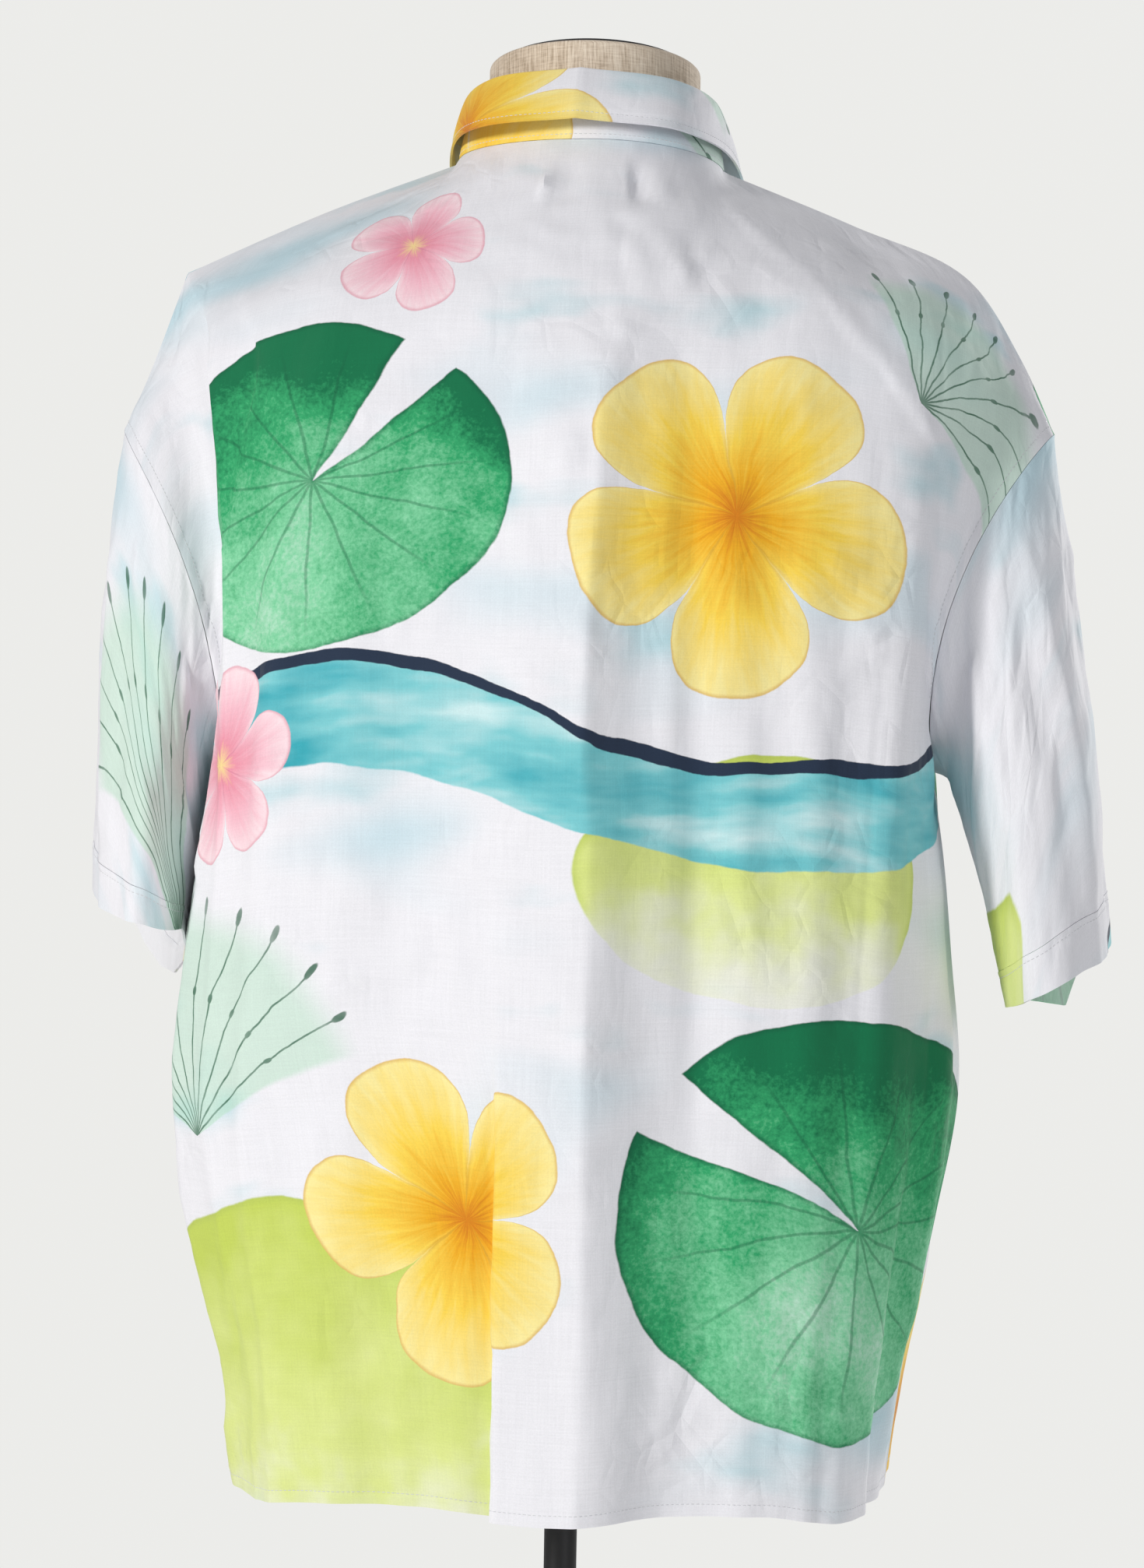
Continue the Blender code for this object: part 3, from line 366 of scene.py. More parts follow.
BACK_FOLDS = [
    Fold(
        [(0.0, -0.092), (0.33, -0.082), (0.465, -0.088), (0.53, -0.058), (0.63, -0.062), (0.82, -0.09)],
        [
            (0.0, 28), (0.2, 27), (0.45, 25), (0.65, 22), (0.75, 19), (0.81, 14.5), (0.84, 8), (0.856, 3),
            (0.875, 0),
        ],
        [(0.0, 0.30), (0.5, 0.25), (0.8, 0.17)], CREST_RIGHT,
    ),
    Fold(
        [(0.0, 0.055), (0.18, 0.060), (0.36, 0.066)],
        [(0.0, 17), (0.15, 13), (0.28, 6), (0.36, 0)],
        [(0.0, 0.10), (0.36, 0.08)], LAP_LEFT, 1,
    ),
    Fold(
        [(0.0, -0.80), (0.2, -0.78), (0.38, -0.74)],
        [(0.0, 10), (0.14, 8), (0.28, 4), (0.38, 0)],
        [(0.0, 0.09), (0.38, 0.07)], LAP_RIGHT, -1,
    ),
    Fold(
        [
            (0.50, 0.86), (0.60, 0.81), (0.65, 0.785), (0.70, 0.755), (0.75, 0.735), (0.80, 0.71),
            (0.85, 0.70), (0.97, 0.68),
        ],
        [(0.50, 0), (0.56, 6), (0.65, 11), (0.82, 11), (0.90, 8), (0.97, 2), (1.0, 0)],
        [(0.50, 0.06), (1.0, 0.075)], LAP_LEFT, 1,
    ),
    Fold(
        [
            (0.62, 0.77), (0.70, 0.69), (0.75, 0.65), (0.80, 0.60), (0.845, 0.565), (0.90, 0.62),
            (0.94, 0.65), (0.98, 0.68),
        ],
        [(0.62, 0), (0.68, 2.5), (0.80, 4), (0.86, 4), (0.94, 2.5), (0.98, 0)],
        [(0.6, 0.05), (1.0, 0.05)], LAP_LEFT, 1,
    ),
    Fold(
        [(0.0, -0.25), (0.5, -0.205), (0.8, -0.19)],
        [(0.0, 0.5), (0.32, 1.5), (0.5, 5.5), (0.75, 5), (0.84, 0)],
        [(0.0, 0.07), (0.8, 0.05)], STEEP_RIGHT,
    ),
    Fold(
        [(0.0, -0.40), (0.4, -0.34), (0.8, -0.30)],
        [(0.0, 2), (0.3, 2.5), (0.5, 4.5), (0.7, 4), (0.86, 0)],
        [(0.0, 0.12), (0.8, 0.08)], SOFT_RIDGE,
    ),
    Fold(
        [(0.0, -0.58), (0.4, -0.50), (0.75, -0.47)],
        [(0.0, 2.5), (0.3, 3), (0.5, 5.5), (0.62, 5), (0.80, 0)],
        [(0.0, 0.12), (0.8, 0.09)], STEEP_RIGHT,
    ),
    Fold(
        [(0.0, -0.70), (0.4, -0.66), (0.7, -0.64)],
        [(0.0, 2), (0.3, 4), (0.5, 5), (0.68, 0)],
        [(0.0, 0.08), (0.7, 0.07)], STEEP_LEFT,
    ),
    Fold(
        [(0.0, 0.24), (0.5, 0.19), (0.8, 0.17)],
        [(0.0, 2.5), (0.3, 2.5), (0.6, 2.5), (0.82, 0)],
        [(0.0, 0.09), (0.8, 0.07)], STEEP_LEFT,
    ),
    Fold(
        [(0.0, 0.42), (0.4, 0.36), (0.6, 0.34), (0.85, 0.36)],
        [(0.0, 3), (0.3, 2.5), (0.7, 3), (0.88, 0)],
        [(0.0, 0.12), (0.8, 0.09)], SOFT_RIDGE,
    ),
    Fold(
        [(0.0, 0.62), (0.4, 0.56), (0.7, 0.52), (0.85, 0.43)],
        [(0.0, 4), (0.3, 4), (0.7, 4.5), (0.83, 3), (0.90, 0)],
        [(0.0, 0.12), (0.7, 0.09), (0.9, 0.05)], STEEP_LEFT,
    ),
    Fold(
        [(0.0, 0.82), (0.3, 0.80), (0.5, 0.79)],
        [(0.0, 5), (0.3, 5), (0.45, 3), (0.55, 0)],
        [(0.0, 0.08), (0.5, 0.06)], SOFT_RIDGE,
    ),
    Fold(
        [(0.0, -0.92), (0.3, -0.88), (0.5, -0.86)],
        [(0.0, 4), (0.3, 6), (0.46, 3), (0.55, 0)],
        [(0.0, 0.06), (0.5, 0.06)], SOFT_RIDGE,
    ),
]
BACK_CREASES = [
    (-0.26, 0.962, -0.44, 0.905, 0.06, 2.2, 1.3),
    (-0.41, 0.915, -0.60, 0.845, 0.05, 2.2, 1.5),
    (-0.565, 0.865, -0.80, 0.79, 0.05, 2.6, 1.6),
    (-0.78, 0.80, -0.955, 0.70, 0.08, 3.0, 1.6),
    (0.022, 0.985, 0.026, 0.945, 0.0, 2.4, -3.2),
    (0.034, 0.985, 0.042, 0.950, 0.0, 2.0, 2.4),
    (-0.078, 0.985, -0.095, 0.945, 0.05, 2.4, -2.8),
    (-0.098, 0.985, -0.125, 0.948, 0.05, 2.2, 2.2),
    (-0.05, 0.945, -0.15, 0.905, -0.10, 3.0, 1.2),
    (-0.10, 0.930, -0.135, 0.870, 0.12, 2.6, 1.8),
    (-0.135, 0.925, -0.215, 0.890, 0.10, 2.4, 1.4),
    (-0.17, 0.875, -0.255, 0.925, 0.05, 3.0, 1.6),
    (-0.205, 0.935, -0.245, 0.880, 0.10, 2.0, -1.2),
    (-0.07, 0.86, -0.13, 0.845, 0.15, 2.6, 1.3),
    (0.06, 0.93, -0.03, 0.915, 0.08, 2.4, 0.9),
    (-0.145, 0.845, -0.155, 0.79, 0.05, 3.0, 1.2),
    (0.03, 0.80, -0.02, 0.74, 0.10, 3.2, 1.2),
    (-0.02, 0.775, 0.02, 0.70, -0.08, 3.0, 1.5),
    (0.06, 0.72, 0.03, 0.66, 0.10, 2.6, 0.9),
    (-0.20, 0.655, -0.205, 0.53, 0.02, 2.2, 1.4),
    (-0.50, 0.70, -0.545, 0.655, 0.10, 2.6, 1.8),
    (-0.545, 0.655, -0.53, 0.60, -0.15, 2.8, 1.6),
    (-0.34, 0.58, -0.36, 0.50, 0.04, 3.0, 1.0),
    (-0.37, 0.455, -0.42, 0.34, 0.05, 2.6, 1.0),
    (0.27, 0.66, 0.24, 0.62, 0.10, 2.2, 1.1),
    (0.22, 0.655, 0.205, 0.61, -0.1, 2.2, 1.0),
    (0.33, 0.64, 0.27, 0.645, 0.1, 2.2, 0.8),
    (0.43, 0.475, 0.40, 0.43, 0.12, 2.2, 1.1),
    (0.40, 0.43, 0.38, 0.36, -0.08, 2.4, 1.0),
    (0.20, 0.455, 0.145, 0.36, -0.10, 2.2, 1.2),
    (0.30, 0.46, 0.28, 0.41, 0.1, 2.0, 0.8),
    (0.60, 0.42, 0.55, 0.36, 0.1, 3.0, 1.0),
    (0.12, 0.28, 0.10, 0.20, 0.1, 2.6, 0.9),
    (-0.30, 0.26, -0.27, 0.17, -0.08, 2.8, 1.0),
    (0.50, 0.20, 0.44, 0.16, 0.1, 2.4, 0.9),
    (0.85, 0.60, 0.70, 0.56, 0.1, 3.6, 1.6),
    (0.90, 0.50, 0.72, 0.44, 0.1, 4.0, 1.8),
    (-0.90, 0.56, -0.72, 0.50, -0.1, 4.0, 1.8),
    (-0.92, 0.66, -0.80, 0.58, -0.1, 3.4, 1.4),
    (0.88, 0.76, 0.80, 0.66, 0.1, 4.0, 1.6),
]
BACK_CRUMPLES = [
    (-0.16, 0.89, 0.13, 0.07, 1.5, 20),
    (-0.01, 0.73, 0.10, 0.09, 1.3, 24),
    (0.30, 0.44, 0.24, 0.09, 1.1, 20),
    (0.27, 0.64, 0.16, 0.05, 0.9, 18),
    (-0.52, 0.64, 0.12, 0.08, 1.2, 22),
    (0.55, 0.12, 0.30, 0.12, 0.9, 18),
    (-0.45, 0.20, 0.30, 0.14, 0.8, 26),
    (0.90, 0.60, 0.12, 0.20, 1.2, 22),
    (-0.90, 0.58, 0.12, 0.20, 1.2, 22),
]

FRONT_FOLDS = [
    Fold(
        [(0.0, 0.22), (0.4, 0.20), (0.85, 0.18)],
        [(0.0, 13), (0.4, 10), (0.7, 5), (0.86, 0)],
        [(0.0, 0.13), (0.85, 0.09)], STEEP_LEFT,
    ),
    Fold(
        [(0.0, 0.66), (0.4, 0.60), (0.8, 0.54)],
        [(0.0, 11), (0.4, 8), (0.7, 4), (0.82, 0)],
        [(0.0, 0.14), (0.8, 0.10)], SOFT_RIDGE,
    ),
    Fold(
        [(0.0, 0.44), (0.4, 0.40), (0.8, 0.36)],
        [(0.0, -9), (0.4, -6), (0.7, -3), (0.84, 0)],
        [(0.0, 0.11), (0.8, 0.08)], SOFT_RIDGE,
    ),
    Fold(
        [(0.0, -0.20), (0.4, -0.19), (0.85, -0.17)],
        [(0.0, 11), (0.4, 8), (0.7, 4), (0.86, 0)],
        [(0.0, 0.13), (0.85, 0.09)], STEEP_RIGHT,
    ),
    Fold(
        [(0.0, -0.62), (0.4, -0.58), (0.8, -0.52)],
        [(0.0, 12), (0.4, 9), (0.7, 4), (0.82, 0)],
        [(0.0, 0.15), (0.8, 0.10)], STEEP_LEFT,
    ),
    Fold(
        [(0.0, -0.42), (0.4, -0.38), (0.8, -0.34)],
        [(0.0, -10), (0.4, -7), (0.7, -3), (0.84, 0)],
        [(0.0, 0.11), (0.8, 0.08)], SOFT_RIDGE,
    ),
    Fold([(0.0, 0.86), (0.5, 0.82)], [(0.0, 4), (0.3, 6), (0.5, 0)], [(0.0, 0.08), (0.5, 0.06)], SOFT_RIDGE),
    Fold(
        [(0.0, -0.86), (0.5, -0.82)],
        [(0.0, 5), (0.3, 6), (0.5, 0)],
        [(0.0, 0.08), (0.5, 0.06)], SOFT_RIDGE,
    ),
]
FRONT_CREASES = [
    (0.34, 0.93, 0.42, 0.83, 0.10, 3.0, 1.3),
    (0.50, 0.90, 0.66, 0.80, -0.08, 3.4, 1.6),
    (0.60, 0.78, 0.90, 0.70, 0.10, 3.6, 1.8),
    (0.72, 0.66, 0.93, 0.57, 0.08, 3.6, 1.6),
    (0.30, 0.55, 0.36, 0.46, 0.10, 2.6, 1.1),
    (0.55, 0.44, 0.48, 0.38, 0.12, 2.6, 1.2),
    (0.16, 0.70, 0.12, 0.60, 0.10, 2.4, 1.0),
    (0.25, 0.30, 0.20, 0.22, -0.10, 2.4, 1.0),
    (-0.36, 0.92, -0.46, 0.84, 0.10, 3.0, 1.4),
    (-0.48, 0.89, -0.70, 0.78, 0.08, 3.4, 1.6),
    (-0.64, 0.74, -0.92, 0.68, -0.10, 3.6, 1.7),
    (-0.74, 0.62, -0.92, 0.56, -0.08, 3.6, 1.6),
    (-0.28, 0.60, -0.33, 0.50, -0.10, 2.6, 1.2),
    (-0.52, 0.40, -0.44, 0.35, 0.10, 2.6, 1.1),
    (-0.15, 0.45, -0.10, 0.36, 0.10, 2.4, 0.9),
    (-0.30, 0.18, -0.22, 0.12, 0.10, 2.4, 1.0),
]
FRONT_CRUMPLES = [
    (0.30, 0.86, 0.14, 0.08, 1.0, 24),
    (-0.34, 0.82, 0.14, 0.09, 1.1, 22),
    (0.50, 0.42, 0.20, 0.10, 1.0, 22),
    (-0.46, 0.38, 0.22, 0.10, 1.0, 24),
    (0.85, 0.60, 0.14, 0.16, 1.2, 22),
    (-0.85, 0.60, 0.14, 0.16, 1.2, 22),
]

SLEEVE_FOLDS = {
    "left": [
        Fold(
            [(0.0, 0.16), (0.5, 0.20), (1.0, 0.24)],
            [(0.05, 0), (0.3, 4), (0.7, 4.5), (1.0, 3)],
            [(0.0, 0.12), (1.0, 0.12)], STEEP_RIGHT,
        ),
        Fold(
            [(0.0, 0.52), (0.5, 0.50), (1.0, 0.46)],
            [(0.05, 0), (0.3, 4), (0.7, 6), (1.0, 5)],
            [(0.0, 0.16), (1.0, 0.14)], SOFT_RIDGE,
        ),
        Fold(
            [(0.0, -0.34), (0.5, -0.36), (1.0, -0.42)],
            [(0.05, 0), (0.3, 5), (0.7, 6), (1.0, 5)],
            [(0.0, 0.16), (1.0, 0.16)], STEEP_LEFT,
        ),
    ],
    "right": [
        Fold(
            [(0.0, 0.30), (0.4, 0.27), (1.0, 0.22)],
            [(0.03, 0), (0.2, 6), (0.6, 8), (1.0, 4)],
            [(0.0, 0.16), (1.0, 0.16)], STEEP_LEFT,
        ),
        Fold(
            [(0.0, 0.56), (0.5, 0.58), (1.0, 0.60)],
            [(0.05, 0), (0.3, 3), (0.7, 4), (1.0, 3)],
            [(0.0, 0.12), (1.0, 0.14)], SOFT_RIDGE,
        ),
        Fold(
            [(0.0, -0.30), (0.5, -0.34), (1.0, -0.38)],
            [(0.05, 0), (0.3, 5), (0.7, 7), (1.0, 5)],
            [(0.0, 0.18), (1.0, 0.16)], STEEP_RIGHT,
        ),
    ],
}
SLEEVE_CREASES = {
    "left": [
        (0.30, 0.10, 0.38, 0.30, 0.10, 3.0, 1.4),
        (0.12, 0.20, 0.20, 0.42, -0.10, 2.8, 1.2),
        (0.60, 0.12, 0.66, 0.30, 0.08, 3.2, 1.6),
        (0.42, 0.55, 0.34, 0.78, 0.10, 2.6, 1.0),
        (0.70, 0.40, 0.78, 0.60, 0.10, 3.2, 1.5),
        (-0.30, 0.14, -0.40, 0.40, 0.10, 3.0, 1.4),
        (-0.60, 0.16, -0.70, 0.42, 0.08, 3.2, 1.6),
        (0.02, 0.30, 0.05, 0.55, 0.05, 2.4, 0.8),
    ],
    "right": [
        (0.36, 0.06, 0.44, 0.26, 0.10, 3.0, 1.6),
        (0.10, 0.16, 0.18, 0.36, -0.10, 2.8, 1.2),
        (0.55, 0.14, 0.64, 0.36, 0.08, 3.2, 1.6),
        (0.16, 0.52, 0.10, 0.80, 0.10, 2.8, 1.2),
        (0.72, 0.36, 0.76, 0.62, 0.10, 3.2, 1.4),
        (-0.28, 0.16, -0.38, 0.44, 0.10, 3.0, 1.4),
        (-0.62, 0.14, -0.68, 0.40, 0.08, 3.2, 1.6),
        (0.30, 0.48, 0.36, 0.72, -0.06, 2.4, 1.0),
    ],
}
SLEEVE_CRUMPLES = {
    "left": [(0.45, 0.30, 0.20, 0.20, 1.2, 22), (-0.50, 0.35, 0.30, 0.25, 1.2, 22)],
    "right": [(0.40, 0.24, 0.20, 0.20, 1.3, 22), (-0.50, 0.35, 0.30, 0.25, 1.2, 22)],
}

# Shape of the short creases: each has one steep and one slow side
CREASE_WIDTH = 2.3
CREASE_DEPTH = 1.5
CREASE_SLOW_SIDE = 2.8
CREASE_CORE = 0.6 * MM
CREASE_WOBBLE = 0.25
CREASE_WANDER = 0.06
CREASE_WOBBLE_RATE = 4
CREASE_WOBBLE_STEP = 9
CREASE_WOBBLE_SEED = 71
CREASE_FADE = 0.7
# Facets: how far and how often their sides bend, and how much the grid leans that they stand on
FACET_BEND = 0.5
FACET_BEND_RATE = 0.8
FACET_LEAN = 0.366
# Waves, facets and ripples all over the cloth: lift and size
WAVE_LIFT, WAVE_SIZE = 1.8 * MM, (70 * MM, 190 * MM)
FAINT_LIFT, FAINT_SIZE = 1.1 * MM, 36 * MM
FINE_LIFT, FINE_SIZE = 0.28 * MM, 14 * MM
RIPPLE_LIFT, RIPPLE_SIZE = 0.75 * MM, (13 * MM, 70 * MM)
RIPPLE_PATCH = 90 * MM
RIPPLE_FROM = (-0.5, 0.6)
CRUMPLE_SQUEEZE = 0.8
# Seeds of the relief on the panels, the sleeves and the collar's two parts, and what each kind of relief adds
BACK_SEED, FRONT_SEED, SLEEVE_SEED, STAND_SEED, FALL_SEED = 100, 200, 300, 401, 402
FAINT_SEED, FINE_SEED, PATCH_SEED, RIPPLE_SEED, CRUMPLE_SEED = 5, 8, 9, 10, 11
SIDE_PUCKER_SEED, END_PUCKER_SEED, HEM_RIPPLE_SEED = 31, 32, 33
# Gathers beside the seams and dents of the stitches
PUCKER_LIFT = 1.3 * MM
PUCKER_REACH = 11 * MM
PUCKER_SIZE = 8 * MM
PUCKER_START = 2 * MM
CUFF_PUCKER = 1.1 * MM
HEM_RIPPLE = 1.4 * MM
HEM_RIPPLE_SIZE = 22 * MM
HEM_RIPPLE_REACH = 30 * MM
STITCH_DENT = 0.35 * MM
STITCH_DENT_REACH = 2.2 * MM
# Shares of a panel over which its relief grows from nothing: at its sides, at its top, and folds at its sides
SIDE_STILL, TOP_STILL, FOLD_STILL = 0.05, 0.035, 0.06
# The same on a sleeve, at the armhole and the underarm, and how much calmer the small relief is on the cuff
SLEEVE_STILL = 0.08
CUFF_CALM = 0.5
# Share of the length over which a seam's stitches begin
STITCHES_BEGIN = 0.02

# Seams and stitching: how far the stitches lie from the edge
HEM_DEPTH = 11 * MM
HEM_STEP = 1 * MM
HEM_STITCH = 7 * MM
ARMHOLE_STITCH = 6 * MM
EDGE_STITCH = 4 * MM
FRONT_STITCH = 28 * MM
COLLAR_STITCH = 5 * MM
STAND_STITCH = 3 * MM
CUFF_STITCH = 4 * MM
# Sizes of the stitches: pitch, length and radius of the thread
SEAM_STITCHES = (3.0 * MM, 2.2 * MM, 0.24 * MM)
BUTTON_STITCHES = (1.3 * MM, 1.5 * MM, 0.3 * MM)
STITCH_SIDES = 6
# Rings of a stitch: its place along the stitch, its share of the radius, its lift in radii
STITCH_RINGS = [(-0.5, 0.35, -0.3), (-0.25, 0.95, 0.2), (0.25, 0.95, 0.2), (0.5, 0.35, -0.3)]

# Buttons
BUTTON_COUNT = 6
BUTTON_FIRST_V = 0.945
BUTTON_LAST_V = 0.25
BUTTON_CLEARANCE = 0.4 * MM
# Button section in mm (radius, height), from its flat underside round its rim to its sunken floor
BUTTON_SECTION = [
    (3.9, 0.0), (5.2, 0.1), (6.0, 0.4), (6.4, 0.8), (6.5, 1.3), (6.4, 1.8), (6.1, 2.2), (5.7, 2.4),
    (5.3, 2.4), (4.9, 2.2), (4.5, 1.8), (4.0, 1.65), (3.9, 1.65),
]
BUTTON_FLOOR = 1.65 * MM
BUTTON_SIDES = 48
HOLE_PLACE = 1.25 * MM
HOLE_RADIUS = 0.6 * MM
HOLE_SIDES = 8
# The stitched buttonhole: half its width and half its length
BUTTONHOLE = (1.2 * MM, 8.5 * MM)
BUTTONHOLE_STEPS = 33
# Points along each of a button's two threads
THREAD_POINTS = 5

# Dress form sections in millimetres, from the hips up to the foot of the neck, which slopes
NECK_FOOT_SLOPE = 0.22
Ring = namedtuple("Ring", "z half_width y_front y_back power slope x_mid", defaults=(0.0, 0.0))
TORSO = [
    Ring(700, 150, -102, 78, 2.3),
    Ring(712, 164, -114, 88, 2.3),
    Ring(760, 171, -120, 92, 2.3),
    Ring(820, 170, -120, 91, 2.3),
    Ring(900, 157, -112, 86, 2.3),
    Ring(980, 149, -108, 82, 2.3),
    Ring(1060, 157, -119, 84, 2.3),
    Ring(1120, 170, -126, 87, 2.3),
    Ring(1180, 182, -127, 85, 2.2),
    Ring(1220, 193, -125, 80, 2.1),
    Ring(1260, 203, -120, 71, 2.0),
    Ring(1295, 209, -113, 58, 2.0, 0.0, 2),
    Ring(1325, 212, -107, 44, 2.0, 0.0, 9),
    Ring(1352, 208, -103, 30, 2.0, 0.02, 12),
    Ring(1370.5, 196, -102, 21, 2.0, 0.05, 12),
    Ring(1385.5, 174, -105, 14, 2.0, 0.09, 12),
    Ring(1399.4, 143, -112, 8, 2.0, 0.14, 12),
    Ring(1408.6, 108, -123, 3, 2.0, 0.19, 6),
    Ring(1416.6, 86, -134, 0, 2.0, 0.21, 5),
    Ring(1421.6, 73, -143, -3, 2.0, NECK_FOOT_SLOPE, 3),
]
TORSO_RINGS = 121
TORSO_SIDES = 96
ROUND_SIDES = 96
NECK_RADIUS = 66.5 * MM
NECK_CENTRE = (3 * MM, -73 * MM)
NECK_TOP_Z = 1499 * MM
NECK_TOP_SLOPE = 0.12
NECK_RINGS = 13
NECK_BEVEL = 2 * MM
NECK_BEVEL_TURNS = (30, 60, 90)
CAP_RADIUS = 59.5 * MM
# Section of the cap in mm: how far inside its radius, and the height
CAP_SECTION = [
    (0.4, 0), (0, 0.4), (0, 1.8), (0.25, 2.3), (0.8, 2.7), (1.8, 2.95), (3, 3), (20, 3.0), (22, 2.8),
    (24, 3.0),
]
POLE_RADIUS = 10 * MM
TORSO_BOTTOM_Z = 700 * MM
HUB_TOP_Z = 40 * MM
TOUCH_GAP = 0.3 * MM
# Section of the base in mm: radius, height
BASE_SECTION = [
    (163, 0), (164.4, 0.6), (165, 2), (165, 6), (164.6, 7.6), (163.4, 9), (161.6, 9.8), (160, 10), (24, 14),
    (20.6, 15.4), (18.7, 17.6), (18, 20),
]

# Where each piece's cut lies on the printed cloth
SLEEVE_CUT = {"left": (-0.365, 0.80), "right": (0.28, 0.77)}
FRONT_CUT = (0.35, 0.13)
COLLAR_CUT = (-0.19, 0.625)
# Print: motifs of one repeat of the cloth, in metres
REPEAT = (1.16, 0.98)
# Washes: place, radius, how much flatter than a circle
LIME_WASHES = [((0.20, 0.04), 0.165, 1.2), ((-0.13, 0.37), 0.11, 1.5), ((0.52, 0.58), 0.12, 1.3)]
# Pads: place, radius, how much flatter than a circle, where their notch points
PADS = [
    ((0.15, 0.60), 0.125, 1.25, 2.2),
    ((-0.20, 0.17), 0.150, 1.20, 0.6),
    ((0.44, 0.33), 0.120, 1.15, 4.0),
    ((-0.47, 0.74), 0.110, 1.20, 5.2),
    ((-0.34, 0.90), 0.060, 1.10, 1.2),
]
VEINS = 15
# Half the angle of the notch
NOTCH = 0.16
# Bands: place, half of the width, swing and wave length
RIBBONS = [((0.0, 0.435), 0.030, 0.030, 0.58), ((0.2, 0.93), 0.018, 0.020, 0.58)]
# Seed heads: place, radius, rays in a full turn, where they point, how far they fan out
UMBELS = [
    ((0.25, 0.22), 0.140, 26, 1.6, 1.25),
    ((-0.22, 0.66), 0.110, 24, 2.5, 1.3),
    ((0.46, 0.82), 0.100, 22, 0.9, 1.3),
]
# Where the inner ring of a seed head's drops lies, as a share of its radius
INNER_DROPS = 0.62
# How round the petals are, and which share of the radius they have in common
PETAL_ROUNDNESS, HEART = 2.6, 0.40
# Flowers: place, radius, petals, turn, colours
BLOSSOMS = [
    ((-0.11, 0.58), 0.105, 5, 0.4, "yellow"),
    ((0.07, 0.17), 0.095, 5, 1.3, "yellow"),
    ((0.50, 0.06), 0.090, 5, 2.2, "yellow"),
    ((0.22, 0.44), 0.060, 6, 0.2, "pink"),
    ((-0.44, 0.42), 0.065, 5, 0.9, "pink"),
    ((0.10, 0.755), 0.050, 5, 2.0, "pink"),
]
# Colours as on a screen, from 0 to 255. Stops have their place on the ramp, and each motif has a line colour.
PETAL_STOPS = {
    "yellow": [(0.0, (214, 120, 24)), (0.22, (240, 176, 36)), (0.55, (250, 214, 84)), (1.0, (252, 236, 160))],
    "pink": [(0.0, (250, 226, 150)), (0.2, (238, 150, 170)), (0.6, (246, 190, 204)), (1.0, (252, 226, 232))],
}
PETAL_LINES = {"yellow": (206, 142, 38), "pink": (214, 112, 140)}
GREEN_STOPS = [(0.0, (12, 116, 74)), (0.28, (52, 168, 108)), (0.6, (132, 212, 164)), (1.0, (206, 238, 220))]
GREEN_LINE = (10, 92, 62)
LIME_STOPS = [(0.0, (198, 214, 96)), (0.5, (222, 232, 146)), (1.0, (240, 243, 206))]
LIME_LINE = (188, 204, 96)
WATER_STOPS = [(0.3, (60, 172, 186)), (0.5, (128, 206, 212)), (0.7, (206, 236, 238))]
WATER_LINE = (38, 52, 74)
SEED_WASH = (182, 224, 196)
SEED_LINE = (26, 96, 66)
GROUND = (240, 239, 244)
# Clouds: how flat, scale, detail, from and to which noise, colour
CLOUDS = [
    ((1.0, 2.2), 3.3, 2.0, (0.50, 0.72), (196, 224, 234)),
    ((1.2, 2.6), 5.1, 3.0, (0.56, 0.78), (176, 218, 226)),
]
# Wet edges of the paint: scale of the noise and how far it shifts the print
WET_EDGES = [(7.0, 26 * MM), (38.0, 4.0 * MM), (260.0, 0.7 * MM)]
# The inside has lost this share of the print and shows this colour instead
FADING = 0.42
WORN = (236, 236, 238)
LINEN_STOPS = [(0.32, (156, 136, 114)), (0.50, (214, 196, 175)), (0.68, (244, 230, 211))]
SHELL_STOPS = [(0.3, (214, 206, 190)), (0.55, (238, 233, 222)), (0.75, (250, 247, 240))]
THREAD_COLOURS = ((236, 236, 240), (193.52, 193.52, 196.8))
# Powder-coated metal: dark and light colour, roughness
BLACK_METAL = ((16, 16, 18), (30, 30, 33), 0.42)
CAP_METAL = ((30, 30, 32), (44, 44, 46), 0.5)
# Broken straight creases, as the sides of cells: cells to a metre, depth in mm and how far they are drawn out
CRISP_CREASES = [(19.0, 0.9, 0.7), (41.0, 0.35, 0.8)]
CRISP_REACH = 0.11
CRISP_PATCH = 7.0


# Curves and surfaces


def unit(vectors):
    return vectors / np.maximum(np.linalg.norm(vectors, axis=-1, keepdims=True), 1e-12)


def smoothstep(low, high, t):
    x = np.clip((t - low) / (high - low), 0.0, 1.0)
    return x * x * (3 - 2 * x)


def cubic(x, step, start, start_slope, end, end_slope):
    """The cubic between two values with given slopes, at the share x of the step between them."""
    return (
        (1 + 2 * x) * (1 - x) ** 2 * start
        + x * (1 - x) ** 2 * step * start_slope
        + x**2 * (3 - 2 * x) * end
        + x**2 * (x - 1) * step * end_slope
    )


def blend_rows(keys, values, t):
    """Smooth curve through the rows: a cubic between neighbours, with slopes from the rows on either side."""
    keys = np.asarray(keys, float)
    values = np.asarray(values, float)
    steps = np.diff(keys)
    chords = np.diff(values, axis=0) / steps[:, None]
    slopes = np.empty_like(values)
    slopes[0], slopes[-1] = chords[0], chords[-1]
    for i in range(1, len(keys) - 1):
        slopes[i] = (chords[i - 1] * steps[i] + chords[i] * steps[i - 1]) / (steps[i - 1] + steps[i])
    t = np.atleast_1d(np.asarray(t, float))
    i = np.clip(np.searchsorted(keys, t, side="right") - 1, 0, len(keys) - 2)
    x = ((t - keys[i]) / steps[i])[:, None]
    return cubic(x, steps[i][:, None], values[i], slopes[i], values[i + 1], slopes[i + 1])


